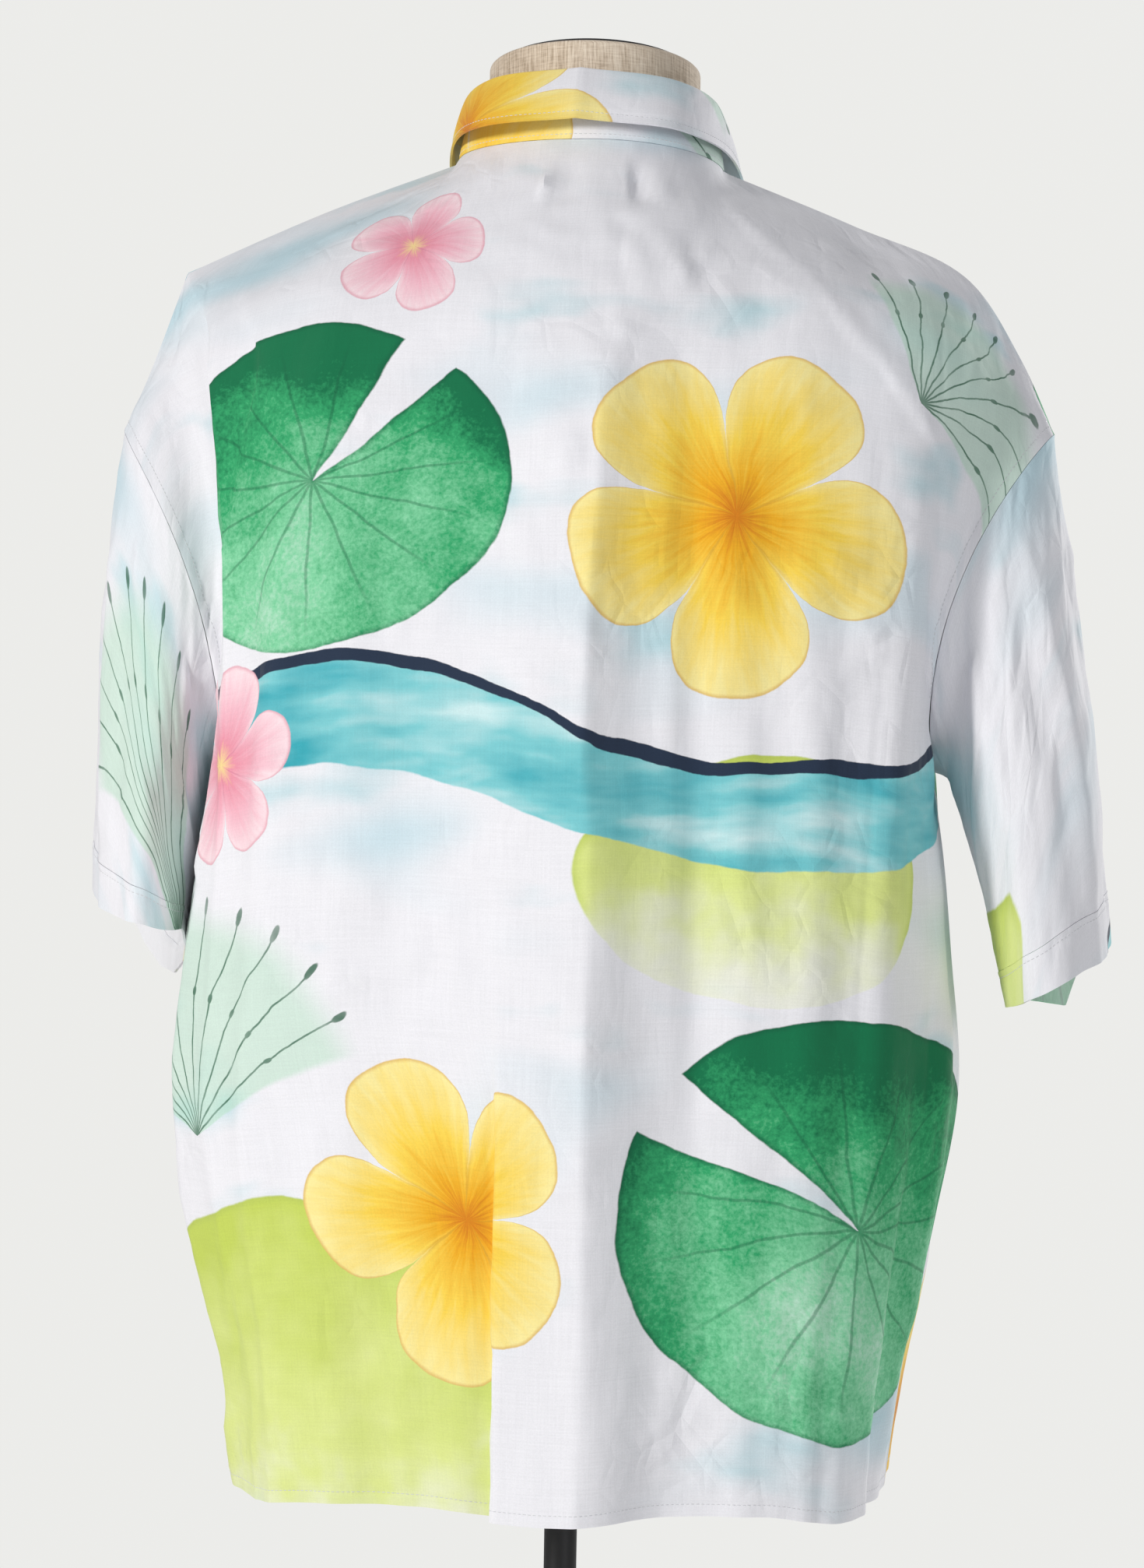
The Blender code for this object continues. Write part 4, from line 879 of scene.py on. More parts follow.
def curve(table, t, columns=slice(1, None)):
    """Points in metres of a curve whose table has its keys first and then its places in millimetres."""
    return blend_rows([row[0] for row in table], np.array([row[columns] for row in table]) * MM, t)


def guide_line(table, side, v_values):
    """The points of a guide line at each height, as if on the wearer's left."""
    return curve(table, v_values, -1 if side == "right" else 1)


def crowded(fine, count, places, density, reach):
    """Steps over the same length as the fine ones, closer together at some places."""
    crowd = 1 + sum(density * np.exp(-(((fine - at) / reach) ** 2)) for at in places)
    total = np.concatenate([[0], np.cumsum((crowd[1:] + crowd[:-1]) / 2)])
    return np.interp(np.linspace(0, total[-1], count + 1), total, fine)


def half_columns():
    """Places across a half panel, closer together where a fold laps."""
    return crowded(np.linspace(0, 1, COLUMN_STEPS + 1), HALF_COLUMNS, LAP_PLACES, LAP_DENSITY, LAP_REACH)


def v_levels():
    """Heights of the rows, with one at the underarm and closer ones at the hem."""
    fine = np.linspace(0, UNDERARM_V, ROW_STEPS + 1)
    lower = crowded(fine, ROWS_BELOW_ARMHOLE, (0.0,), HEM_DENSITY, HEM_DENSITY_REACH)
    return np.concatenate([lower, np.linspace(UNDERARM_V, 1.0, ROWS_ALONG_ARMHOLE + 1)[1:]])


def armhole_angles(v_values):
    """Angles round the armhole from its top, in degrees, at the panel's heights."""
    keys, angles = np.transpose(ARMHOLE_BY_V)
    return blend_rows(keys, angles[:, None], v_values)[:, 0]


def edge_point(side, facing, v):
    """The side edge of a panel: the side seam up to the underarm, and the armhole above it."""
    if v <= UNDERARM_V:
        return guide_line(SIDE_SEAM, side, v)[0]
    angle = math.radians(armhole_angles(v)[0])
    top, under = np.array(ARMHOLE_TOP), np.array(ARMHOLE_UNDER)
    x, z = (top + under) / 2 + (top - under) / 2 * math.cos(angle)
    x -= ARMHOLE_BELLY * math.sin(angle) ** 2
    return np.array([x, ARMHOLE_Y + facing * ARMHOLE_HALF_DEPTH * math.sin(angle), z])


def neckline(centre, side_point, shares):
    """Points of the neckline's quarter round, from the centre (share 0) to the side (share 1)."""
    turn = np.array(shares) * math.pi / 2
    points = side_point + (centre - side_point) * np.cos(turn)[:, None]
    points[:, 0] = side_point[0] * np.sin(turn)
    return points


def half_panel(side, facing, v_values, us):
    """Rows of points of a half panel, as if on the wearer's left, for us from 0 to 1."""
    guides = BACK_GUIDES if facing > 0 else FRONT_GUIDES
    centres, *others = [guide_line(table, side, v_values) for table in guides.values()]
    places = [NECK_U, BLADE_U, RIDGE_U, VALLEY_U, 1.0]
    creased = side in CREASED_SIDES
    near, wide, beyond = us < NECK_U, us >= NECK_U, us > RIDGE_U
    x = us[near] / NECK_U
    grid = np.empty((len(v_values), len(us), 3))
    for i, v in enumerate(v_values):
        centre = centres[i]
        points = [line[i] for line in others] + [edge_point(side, facing, v)]
        neck = points[0]
        first = (places[:3], points[:3]) if creased else (places, points)
        neck_slope = (blend_rows(*first, NECK_U + SLOPE_STEP)[0] - neck) / SLOPE_STEP
        centre_slope = np.array([(neck[0] - centre[0]) / NECK_U, 0.0, 0.0])
        plain = cubic(x[:, None], NECK_U, centre, centre_slope, neck, neck_slope)
        weight = smoothstep(NECKLINE_FROM_V, 1.0, v)
        grid[i, near] = plain * (1 - weight) + neckline(centre, neck, x) * weight
        grid[i, wide] = blend_rows(*first, us[wide])
        if creased:
            grid[i, beyond] = blend_rows(places[2:], points[2:], us[beyond])
    return grid


def panel_grid(facing, us, v_values):
    """Points of a whole panel, rows by v and columns by u from -1 (wearer's right) to 1 (wearer's left)."""
    left = half_panel("left", facing, v_values, np.maximum(us, 0.0))
    right = half_panel("right", facing, v_values, np.maximum(-us, 0.0))
    right[..., 0] *= -1
    return np.where((us >= 0)[None, :, None], left, right)


def grid_normals(grid, outward, closed=False):
    """Unit normals of a grid of points, on the side that the outward vectors point to."""
    across = np.roll(grid, -1, axis=1) - np.roll(grid, 1, axis=1) if closed else np.gradient(grid, axis=1)
    normals = unit(np.cross(across, np.gradient(grid, axis=0)))
    return normals if (outward * normals).sum() > 0 else -normals


def moved_in(grid, axis, at_end, distance):
    """Moves a border row or column of a grid towards its neighbour, by one distance or one for each point."""
    edge, inner = (-1, -2) if at_end else (0, 1)
    border, beside = (grid[edge], grid[inner]) if axis == 0 else (grid[:, edge], grid[:, inner])
    border += unit(beside - border) * np.reshape(distance, (-1, 1))


def sleeve_places():
    """Places round a sleeve that match the armhole's rows on the front panel, then those on the back."""
    shares = armhole_angles(v_levels()[ROWS_BELOW_ARMHOLE:]) / 180
    return np.concatenate([-shares[1:-1], shares[::-1]])


def sleeve_ring(side, s, us):
    """One ring of a sleeve as if on the wearer's left, at the places us round it."""
    stations = SLEEVE[side]
    values = blend_rows([row[0] for row in stations], [row[1:] for row in stations], s)[0]
    x_outer, z_outer, x_inner, z_inner, y_mid, half_depth, belly, rise = values[:8] * MM
    twist = math.radians(values[8])
    turn = math.pi * us
    share = (1 + np.cos(turn)) / 2
    x = x_inner + (x_outer - x_inner) * share - belly * np.sin(turn) ** 2
    z = z_inner + (z_outer - z_inner) * share + rise / 2 * np.sin(turn)
    reach = half_depth * np.sin(turn)
    return np.stack([x - reach * math.sin(twist), y_mid + reach * math.cos(twist), z], axis=1)


def torso_rings():
    """The torso's sections, in blended steps."""
    places = np.linspace(0, len(TORSO) - 1, TORSO_RINGS)
    turns = 2 * math.pi * np.arange(TORSO_SIDES) / TORSO_SIDES
    rings = []
    for row in blend_rows(range(len(TORSO)), [list(r) for r in TORSO], places):
        ring = Ring(*row)
        middle, half_depth = (ring.y_front + ring.y_back) / 2 * MM, (ring.y_back - ring.y_front) / 2 * MM
        s, c = [np.sign(n) * np.abs(n) ** (2 / ring.power) for n in (np.sin(turns), np.cos(turns))]
        x = ring.x_mid * MM + ring.half_width * MM * s
        y = half_depth * c
        rings.append(np.stack([x, middle + y, ring.z * MM + y * ring.slope], axis=1))
    return np.array(rings)


def round_ring(radius, z, centre=(0.0, 0.0), slope=0.0):
    """A level or sloping circle; the slope is rise over run towards +Y."""
    turns = 2 * math.pi * np.arange(ROUND_SIDES) / ROUND_SIDES
    y = radius * np.cos(turns)
    return np.stack([centre[0] + radius * np.sin(turns), centre[1] + y, z + y * slope], axis=1)


def collar_line(table, ts):
    """The points of a collar line at ts from -1, its right front end, to 1, its left front end."""
    points = curve(table, np.abs(ts))
    points[:, 0] = np.copysign(points[:, 0], ts) + COLLAR_SHIFT
    points[:, 2] += points[:, 0] * COLLAR_TILT
    return points


def collar_seam(t):
    """The point of the neckline that the collar's stand rises from."""
    side, sign = ("left", 1) if t >= 0 else ("right", -1)
    share = abs(t) * 2
    guides, share, least = (BACK_GUIDES, share, 0) if share <= 1 else (FRONT_GUIDES, 2 - share, STAND_END)
    centre, neck = [guide_line(guides[name], side, 1.0)[0] for name in ("centre", "neck")]
    point = neckline(centre, neck, [share])[0]
    point[0] = max(point[0], least) * sign
    return point


# Relief of the cloth


def noise_cells(x, y, seed, size=64):
    """The random heights at the corners of each place's cell, and where in its cell the place lies."""
    table = np.random.default_rng(seed).uniform(-1, 1, (size, size))
    i, j = np.floor(x).astype(int), np.floor(y).astype(int)
    corners = [table[(i + a) % size, (j + b) % size] for a, b in ((0, 0), (1, 0), (0, 1), (1, 1))]
    return corners, x - i, y - j


def value_noise(x, y, seed):
    """Smooth noise from -1 to 1, with a knot at every whole number."""
    (near, right, above, far), fx, fy = noise_cells(x, y, seed)
    fx, fy = fx * fx * (3 - 2 * fx), fy * fy * (3 - 2 * fy)
    return (near * (1 - fx) + right * fx) * (1 - fy) + (above * (1 - fx) + far * fx) * fy


def facets(x, y, seed):
    """Crumpled noise from -1 to 1: random heights joined by flat triangles with bent sides."""
    rate = FACET_BEND_RATE
    bend_x, bend_y = [FACET_BEND * value_noise(x * rate, y * rate, seed + n) for n in (1, 2)]
    x, y = x + bend_x, y + bend_y
    slant = (x + y) * FACET_LEAN
    (near, right, above, far), fx, fy = noise_cells(x + slant, y + slant, seed)
    lower = near * (1 - fx) + right * (fx - fy) + far * fy
    upper = near * (1 - fy) + above * (fy - fx) + far * fx
    return np.where(fx > fy, lower, upper)


def soften(lift, reach, axis, closed=False):
    """Blurs a map along one axis with a bell curve whose reach is in rows or columns."""
    half = int(math.ceil(3 * reach))
    bell = np.exp(-0.5 * (np.arange(-half, half + 1) / reach) ** 2)
    bell /= bell.sum()
    widths = [(0, 0), (0, 0)]
    widths[axis] = (half, half)
    padded = np.pad(lift, widths, mode="wrap" if closed else "edge")
    return np.apply_along_axis(np.convolve, axis, padded, bell, mode="valid")


def fold_maps(folds, us, vs, closed=False):
    """How far the long folds lift the cloth, push it along u and how much of it their laps hide."""
    lift, push, tuck = np.zeros((3, len(vs), len(us)))
    for fold in folds:
        crest, height, width = [np.interp(vs, *np.transpose(rows)) for rows in fold[:3]]
        wander = value_noise(vs * CREST_WOBBLE_RATE, vs * 0 + CREST_WOBBLE_STEP * crest[0], CREST_WOBBLE_SEED)
        away = us[None, :] - (crest + CREST_WOBBLE * wander)[:, None]
        if closed:
            away = (away + 1) % 2 - 1
        x = away / width[:, None]
        tall = height[:, None] * MM
        lift += tall * np.interp(x, *np.transpose(fold.section))
        if fold.lean:
            push += fold.lean * LEAN_SHARE * tall * np.interp(fold.lean * x, *np.transpose(LEAN_SECTION))
            tuck += fold.lean * LAP_TUCK * tall * smoothstep(*TUCK_PLACE, fold.lean * x)
    lift = soften(soften(lift, FOLD_SOFTNESS_ALONG, 0), FOLD_SOFTNESS_ACROSS, 1, closed)
    return lift, push, tuck


def arcs(grid):
    """Lengths along the rows and up the columns of a grid of points."""
    across = np.linalg.norm(np.diff(grid, axis=1), axis=2)
    up = np.linalg.norm(np.diff(grid, axis=0), axis=2)
    a = np.pad(np.cumsum(across, axis=1), ((0, 0), (1, 0)))
    b = np.pad(np.cumsum(up, axis=0), ((1, 0), (0, 0)))
    return a, b


def from_middle(lengths, us):
    """Lengths along the rows, counted from the panel's middle line."""
    return lengths - np.array([np.interp(0.0, us, row) for row in lengths])[:, None]


def value_at(field, us, vs, u, v):
    """The value of a map of the grid at u, v."""
    i, j = np.interp(v, vs, np.arange(len(vs))), np.interp(u, us, np.arange(len(us)))
    i0, j0 = min(int(i), len(vs) - 2), min(int(j), len(us) - 2)
    fi, fj = i - i0, j - j0
    low, high = [row[j0] * (1 - fj) + row[j0 + 1] * fj for row in (field[i0], field[i0 + 1])]
    return low * (1 - fi) + high * fi


def crease_map(creases, us, vs, a, b):
    """How far the short creases lift the cloth. They fade at their ends."""
    lift = np.zeros_like(a)
    for c in map(Crease._make, creases):
        ends = ((c.u1, c.v1), (c.u2, c.v2))
        start, end = [np.array([value_at(field, us, vs, *at) for field in (a, b)]) for at in ends]
        length = np.linalg.norm(end - start)
        way = (end - start) / length
        from_a, from_b = a - start[0], b - start[1]
        t = np.clip((from_a * way[0] + from_b * way[1]) / length, 0, 1)
        wobble = value_noise(t * CREASE_WOBBLE_RATE + CREASE_WOBBLE_STEP, t * 0 + c.width, CREASE_WOBBLE_SEED)
        wobble = CREASE_WOBBLE * wobble
        bent = c.bend * 4 * t * (1 - t) + CREASE_WANDER * wobble
        aside = from_b * way[0] - from_a * way[1] - bent * length
        width = c.width * MM * CREASE_WIDTH * np.where(aside > 0, 1.0, CREASE_SLOW_SIDE)
        core = np.sqrt(aside**2 + CREASE_CORE**2) - CREASE_CORE
        fade = np.sin(math.pi * t) ** CREASE_FADE * (1 + wobble)
        lift += CREASE_DEPTH * c.depth * MM * fade * np.clip(1 - core / width, 0, 1)
    return lift


def crumple_map(places, us, vs, a, b, seed):
    """Slow waves, faint facets and ripples everywhere, and strong facets in the crumpled patches."""
    lift = WAVE_LIFT * value_noise(a / WAVE_SIZE[0] + seed, b / WAVE_SIZE[1], seed)
    lift += FAINT_LIFT * facets(a / FAINT_SIZE, b / FAINT_SIZE + seed, seed + FAINT_SEED)
    lift += FINE_LIFT * facets(a / FINE_SIZE, b / FINE_SIZE + seed, seed + FINE_SEED)
    patches = value_noise(a / RIPPLE_PATCH + seed, b / RIPPLE_PATCH, seed + PATCH_SEED)
    ripples = facets(a / RIPPLE_SIZE[0], b / RIPPLE_SIZE[1] + seed, seed + RIPPLE_SEED)
    lift += RIPPLE_LIFT * smoothstep(*RIPPLE_FROM, patches) * ripples
    for n, c in enumerate(map(Crumple._make, places)):
        reach = ((us[None, :] - c.u) / c.reach_u) ** 2 + ((vs[:, None] - c.v) / c.reach_v) ** 2
        size = c.size * MM
        crumples = facets(a / size, b / size * CRUMPLE_SQUEEZE, seed + CRUMPLE_SEED + n)
        lift += c.lift * MM * np.exp(-reach) * crumples
    return lift


def puckers(distance, along_it, seed, lift=PUCKER_LIFT):
    """Small gathers beside a seam, which pulls the cloth in at its stitches and lets it rise between them."""
    near = np.exp(-distance / PUCKER_REACH) * (1 - np.exp(-distance / PUCKER_START))
    return lift * near * value_noise(along_it / PUCKER_SIZE, distance / (3 * PUCKER_REACH), seed)


def groove(distance, place):
    """The dent of a line of stitches."""
    return -STITCH_DENT * np.exp(-(((distance - place) / STITCH_DENT_REACH) ** 2))


# Meshes


def new_object(name, points, faces, paints, indices=None, cut=None, sharp=55):
    mesh = bpy.data.meshes.new(name)
    mesh.from_pydata(np.asarray(points).tolist(), [], [list(map(int, f)) for f in faces])
    for paint in paints:
        mesh.materials.append(paint)
    if indices is not None:
        mesh.polygons.foreach_set("material_index", np.asarray(indices, dtype=np.int32))
    if cut is not None:
        layer = mesh.uv_layers.new(name="cut")
        layer.data.foreach_set("uv", np.asarray(cut, dtype=np.float32).ravel())
    mesh.shade_smooth()
    mesh.set_sharp_from_angle(angle=math.radians(sharp))
    mesh.update()
    made = bpy.data.objects.new(name, mesh)
    bpy.context.scene.collection.objects.link(made)
    return made


def cloth_piece(name, grid, normals, thickness, cut, paints, closed=False):
    """A thin closed wall round a grid. cut has the places in the flat cut, with one more column if closed."""
    rows, columns = grid.shape[:2]
    half = np.broadcast_to(thickness, (rows, columns))[..., None] / 2
    count = rows * columns
    points = np.concatenate([(grid + normals * half).reshape(-1, 3), (grid - normals * half).reshape(-1, 3)])
    last = columns if closed else columns - 1
    wide = cut.shape[1]

    def corners(pairs):
        """Numbers of the outer layer's points and of their places in the cut, for pairs of (row, column)."""
        ids = np.stack([i * columns + j % columns for i, j in pairs], axis=1)
        return ids, np.stack([i * wide + j for i, j in pairs], axis=1)

    i, j = [n.ravel() for n in np.meshgrid(np.arange(rows - 1), np.arange(last), indexing="ij")]
    outer, outer_cut = corners([(i, j), (i, j + 1), (i + 1, j + 1), (i + 1, j)])
    faces, cuts, inside = [outer, outer[:, ::-1] + count], [outer_cut, outer_cut[:, ::-1]], [0, 1]
    j = np.arange(last)
    rims = [(0 * j, j + 1, 0 * j, j), (0 * j + rows - 1, j, 0 * j + rows - 1, j + 1)]
    if not closed:
        i = np.arange(rows - 1)
        rims += [(i, 0 * i, i + 1, 0 * i), (i + 1, 0 * i + columns - 1, i, 0 * i + columns - 1)]
    for i1, j1, i2, j2 in rims:
        ids, places = corners([(i1, j1), (i2, j2), (i2, j2), (i1, j1)])
        faces.append(ids + np.array([0, 0, count, count]))
        cuts.append(places)
        inside.append(0)
    p = points[outer]
    facing = np.cross(p[:, 1] - p[:, 0], p[:, 3] - p[:, 0])
    if (facing * normals.reshape(-1, 3)[outer[:, 0]]).sum() < 0:
        faces = [f[:, ::-1] for f in faces]
        cuts = [c[:, ::-1] for c in cuts]
    indices = np.concatenate([np.full(len(f), n) for f, n in zip(faces, inside)])
    cut = cut.reshape(-1, 2)[np.concatenate(cuts)]
    return new_object(name, points, np.concatenate(faces), paints, indices, cut)


def stitch_beads(line, normals, pitch, length, radius):
    """The points of beads of thread along a line on the cloth, one row of points for each bead."""
    s = np.concatenate([[0], np.cumsum(np.linalg.norm(np.diff(line, axis=0), axis=1))])
    places = np.arange(0.5 * pitch, s[-1] - 0.4 * pitch, pitch)

    def at(rows, step=0):
        return np.stack([np.interp(places + step, s, rows[:, n]) for n in range(3)], axis=1)

    middle = at(line)
    way = unit(at(line, 0.3 * pitch) - middle)
    side = unit(np.cross(way, at(normals)))
    upward = np.cross(side, way)
    beads = []
    for x, share, lift in STITCH_RINGS:
        for turn in 2 * math.pi * np.arange(STITCH_SIDES) / STITCH_SIDES:
            rise = (math.cos(turn) * share + lift) * radius
            beads.append(middle + way * (x * length) + upward * rise + side * math.sin(turn) * share * radius)
    return np.stack(beads, axis=1)


def stitches(name, runs, paint, sizes=SEAM_STITCHES):
    """One piece with the stitches of several runs, each a line of points and its normals."""
    ring = np.arange(STITCH_SIDES)
    size = len(STITCH_RINGS) * STITCH_SIDES
    quad = np.stack([ring, np.roll(ring, -1), np.roll(ring, -1) + STITCH_SIDES, ring + STITCH_SIDES], axis=1)
    sides = np.concatenate([quad + a for a in range(0, size - STITCH_SIDES, STITCH_SIDES)])
    beads = np.concatenate([stitch_beads(line, normals, *sizes) for line, normals in runs])
    faces = []
    for n in range(len(beads)):
        faces.extend((sides + n * size).tolist())
        faces.append((ring[::-1] + n * size).tolist())
        faces.append((ring + (n + 1) * size - STITCH_SIDES).tolist())
    made = new_object(name, beads.reshape(-1, 3), faces, [paint], sharp=80)
    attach(made, "root")


def loft(name, rings, paint, sharp=40):
    """A closed solid through level rings of points, with the girth and height of each point as its cut."""
    rings = np.array(rings)
    count, sides = rings.shape[:2]
    girth = np.linalg.norm(np.roll(rings, -1, axis=1) - rings, axis=2)
    girth = np.pad(np.cumsum(girth, axis=1), ((0, 0), (1, 0)))
    rise = np.pad(np.cumsum(np.linalg.norm(np.diff(rings, axis=0), axis=2).mean(axis=1)), (1, 0))
    faces, cuts = [], []
    for i in range(count - 1):
        low, high = i * sides, (i + 1) * sides
        for j in range(sides):
            k = (j + 1) % sides
            faces.append([low + j, low + k, high + k, high + j])
            cuts.append([(girth[r, c], rise[r]) for r, c in ((i, j), (i, j + 1), (i + 1, j + 1), (i + 1, j))])
    faces.append(list(range(sides))[::-1])
    cuts.append(rings[0, ::-1, :2].tolist())
    faces.append([(count - 1) * sides + j for j in range(sides)])
    cuts.append(rings[-1, :, :2].tolist())
    points = rings.reshape(-1, 3)
    a, b, c, d = points[faces[0]]
    if np.dot(np.cross(b - a, d - a), (a + c) / 2 - rings[0].mean(axis=0)) < 0:
        faces, cuts = [f[::-1] for f in faces], [c[::-1] for c in cuts]
    return new_object(name, points, faces, [paint], cut=sum(cuts, []), sharp=sharp)


def torso_surface():
    """The dress form's surface that the cloth is kept clear of."""
    rings = torso_rings()
    faces = []
    for low in range(0, (TORSO_RINGS - 1) * TORSO_SIDES, TORSO_SIDES):
        high = low + TORSO_SIDES
        for j in range(TORSO_SIDES):
            k = (j + 1) % TORSO_SIDES
            faces.append((low + k, low + j, high + j, high + k))
    return BVHTree.FromPolygons([Vector(p) for p in rings.reshape(-1, 3)], faces)


def clear_of_form(grid, torso):
    """Moves the points that are too near to the dress form away from it."""
    for point in grid.reshape(-1, 3):
        place, normal = torso.find_nearest(Vector(point), FORM_REACH)[:2]
        if place is None:
            continue
        height = (Vector(point) - place).dot(normal)
        if height < FORM_GAP:
            point += np.array(normal) * (FORM_GAP - height)


def declare(piece, node, size=None, rests_on=()):
    """Rides on the body and stands in for its node, whose part it hides. Not used: size, a sheet of cloth's
    width, length and area, and rests_on.
    """
    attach(piece, "root")
    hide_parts(node)
    if size:
        rests_on = list(rests_on)


def sheet_size(grid, closed=False):
    """The greatest width and length of a cut piece, and its area."""
    if closed:
        grid = np.concatenate([grid, grid[:, :1]], axis=1)
    a, b = arcs(grid)
    p, q, r, s = grid[:-1, :-1], grid[:-1, 1:], grid[1:, 1:], grid[1:, :-1]
    area = np.linalg.norm(np.cross(r - p, s - q), axis=2).sum() / 2
    width, length = a[:, -1].max(), b[-1].max()
    return round(float(width), 3), round(float(length), 3), round(float(min(area, width * length)), 3)


# Pieces


Panel = namedtuple("Panel", "us vs grid normals cut thickness b")


def panel_base(facing, us, vs):
    """A panel's plain surface, with its lower left side taken in and the corners of its neckline eased."""
    base = panel_grid(facing, us, vs)
    taken_in = np.interp(vs, *np.transpose(SIDE_TAKEN_IN)) * MM
    base[..., 0] -= taken_in[:, None] * smoothstep(SIDE_FROM_U, 1.0, us)
    eased = np.stack([soften(base[..., k], NECK_EASE, 1) for k in range(3)], axis=2)
    weight = np.exp(-(((np.abs(us) - NECK_U) / NECK_EASE_REACH) ** 2))[None, :]
    weight = (weight * smoothstep(0, NECK_EASE_FROM, 1 - vs)[:, None])[..., None]
    return base * (1 - weight) + eased * weight


def make_panel(facing, us, torso, folds, creases, crumples, seed, overlap_lift=0):
    """A panel with its folds, creases, gathers, hem and dents of stitches, kept clear of the dress form."""
    vs = v_levels()
    outward = np.array([0, facing, 0])
    base = panel_base(facing, us, vs)
    normals = grid_normals(base, outward)
    a, b = arcs(base)
    a = from_middle(a, us)
    to_side = np.full_like(a, 1.0)
    if us[-1] > 0.5:
        to_side = np.minimum(to_side, a[:, -1:] - a)
    if us[0] < -0.5:
        to_side = np.minimum(to_side, a - a[:, :1])
    edge = 1 - np.abs(us)[None, :]
    on_armhole = smoothstep(UNDERARM_V, UNDERARM_V + STITCHES_BEGIN, vs)[:, None]
    loose = smoothstep(0.0, SIDE_STILL, edge) * smoothstep(0.0, TOP_STILL, 1 - vs)[:, None]
    folds_loose = smoothstep(0.0, FOLD_STILL, edge)
    lift, push, tuck = fold_maps(folds, us, vs)
    lift = lift * folds_loose
    lift += (crease_map(creases, us, vs, a, b) + crumple_map(crumples, us, vs, a, b, seed)) * loose
    lift += puckers(to_side, b, seed + SIDE_PUCKER_SEED) + puckers(b[-1] - b, a, seed + END_PUCKER_SEED)
    ripple = value_noise(a / HEM_RIPPLE_SIZE, b * 0, seed + HEM_RIPPLE_SEED)
    lift += HEM_RIPPLE * ripple * np.exp(-b / HEM_RIPPLE_REACH) * loose
    lift += groove(b, HEM_STITCH) + groove(to_side, ARMHOLE_STITCH) * on_armhole
    ramp = 1 - smoothstep(OVERLAP_U, OVERLAP_FADE * OVERLAP_U, np.abs(us))
    lift += ramp * overlap_lift * OVERLAP_LIFT / 2
    across = unit(np.gradient(base, axis=1))
    grid = base + normals * lift[..., None] + across * (push * folds_loose)[..., None]
    clear_of_form(grid, torso)
    hem = 1 - smoothstep(HEM_DEPTH - HEM_STEP, HEM_DEPTH + HEM_STEP, b)
    thickness = CLOTH + (HEM_CLOTH - CLOTH) * hem
    flat = from_middle(arcs(grid)[0], us) + tuck
    return Panel(us, vs, grid, grid_normals(grid, outward), np.stack([flat, b], axis=2), thickness, b)


def make_sleeve(side, seed):
    """Points, normals and cut of a sleeve with its cuff. Its columns go from the underarm over the front."""
    us = sleeve_places()
    s_values = np.linspace(0, CUFF_SHARE, SLEEVE_ROWS + 1)
    s_values = np.concatenate([s_values, np.linspace(CUFF_SHARE, 1, CUFF_ROWS + 1)[1:]])
    base = np.array([sleeve_ring(side, s, us) for s in s_values])
    if side == "right":
        base[..., 0] *= -1
    edge = np.interp(us, *np.transpose(CUFF_EDGE[side])) * MM
    shift = unit(np.gradient(base, axis=0)) * edge[None, :, None]
    base = base + shift * smoothstep(CUFF_EDGE_FROM, 1.0, s_values)[:, None, None]
    normals = grid_normals(base, base - base.mean(axis=1, keepdims=True), closed=True)
    a, b = arcs(base)
    to_cuff = np.abs(b - b[SLEEVE_ROWS])
    under = smoothstep(0.0, SLEEVE_STILL, 1 - np.abs(us))[None, :]
    loose = smoothstep(0.0, SLEEVE_STILL, s_values)[:, None] * under
    on_cuff = smoothstep(CUFF_SHARE, CUFF_SHARE + STITCHES_BEGIN, s_values)[:, None]
    small = crease_map(SLEEVE_CREASES[side], us, s_values, a, b)
    small += crumple_map(SLEEVE_CRUMPLES[side], us, s_values, a, b, seed)
    lift = fold_maps(SLEEVE_FOLDS[side], us, s_values, closed=True)[0] * loose
    lift += small * loose * (1 - CUFF_CALM * on_cuff)
    lift += puckers(b, a, seed + SIDE_PUCKER_SEED) * under
    lift += puckers(to_cuff, a, seed + END_PUCKER_SEED, CUFF_PUCKER) * under
    lift += groove(to_cuff, CUFF_STITCH) * on_cuff
    grid = base + normals * lift[..., None]
    girth = arcs(np.concatenate([grid, grid[:, :1]], axis=1))[0]
    girth -= girth[:, [ROWS_ALONG_ARMHOLE - 1]]
    cut = np.stack([girth, -b[:, [*range(len(us)), 0]]], axis=2)
    return grid, grid_normals(grid, grid - grid.mean(axis=1, keepdims=True), closed=True), cut


def join_seams(back, front, sleeve_normals, sign):
    """Gives the pieces that meet along a side's seams one shared direction there, so their walls line up."""
    column = -1 if sign > 0 else 0
    wide_back, wide_front = [np.nonzero(sign * panel.us >= NECK_U)[0] for panel in (back, front)]
    side_seam = slice(ROWS_BELOW_ARMHOLE + 1)
    for at, front_at in (((side_seam, column), (side_seam, column)), ((-1, wide_back), (-1, wide_front))):
        mean = unit(back.normals[at] + front.normals[front_at])
        back.normals[at] = mean
        front.normals[front_at] = mean
    top = ROWS_ALONG_ARMHOLE - 1
    armhole = slice(None, -ROWS_ALONG_ARMHOLE - 2, -1)
    mean = unit(sleeve_normals[0, top:] + back.normals[armhole, column])
    sleeve_normals[0, top:] = mean
    back.normals[armhole, column] = mean
    front.normals[-1, column], front.normals[ROWS_BELOW_ARMHOLE, column] = mean[0], mean[-1]
    between = slice(ROWS_BELOW_ARMHOLE + 1, -1)
    mean = unit(front.normals[between, column] + sleeve_normals[0, :top])
    front.normals[between, column] = mean
    sleeve_normals[0, :top] = mean


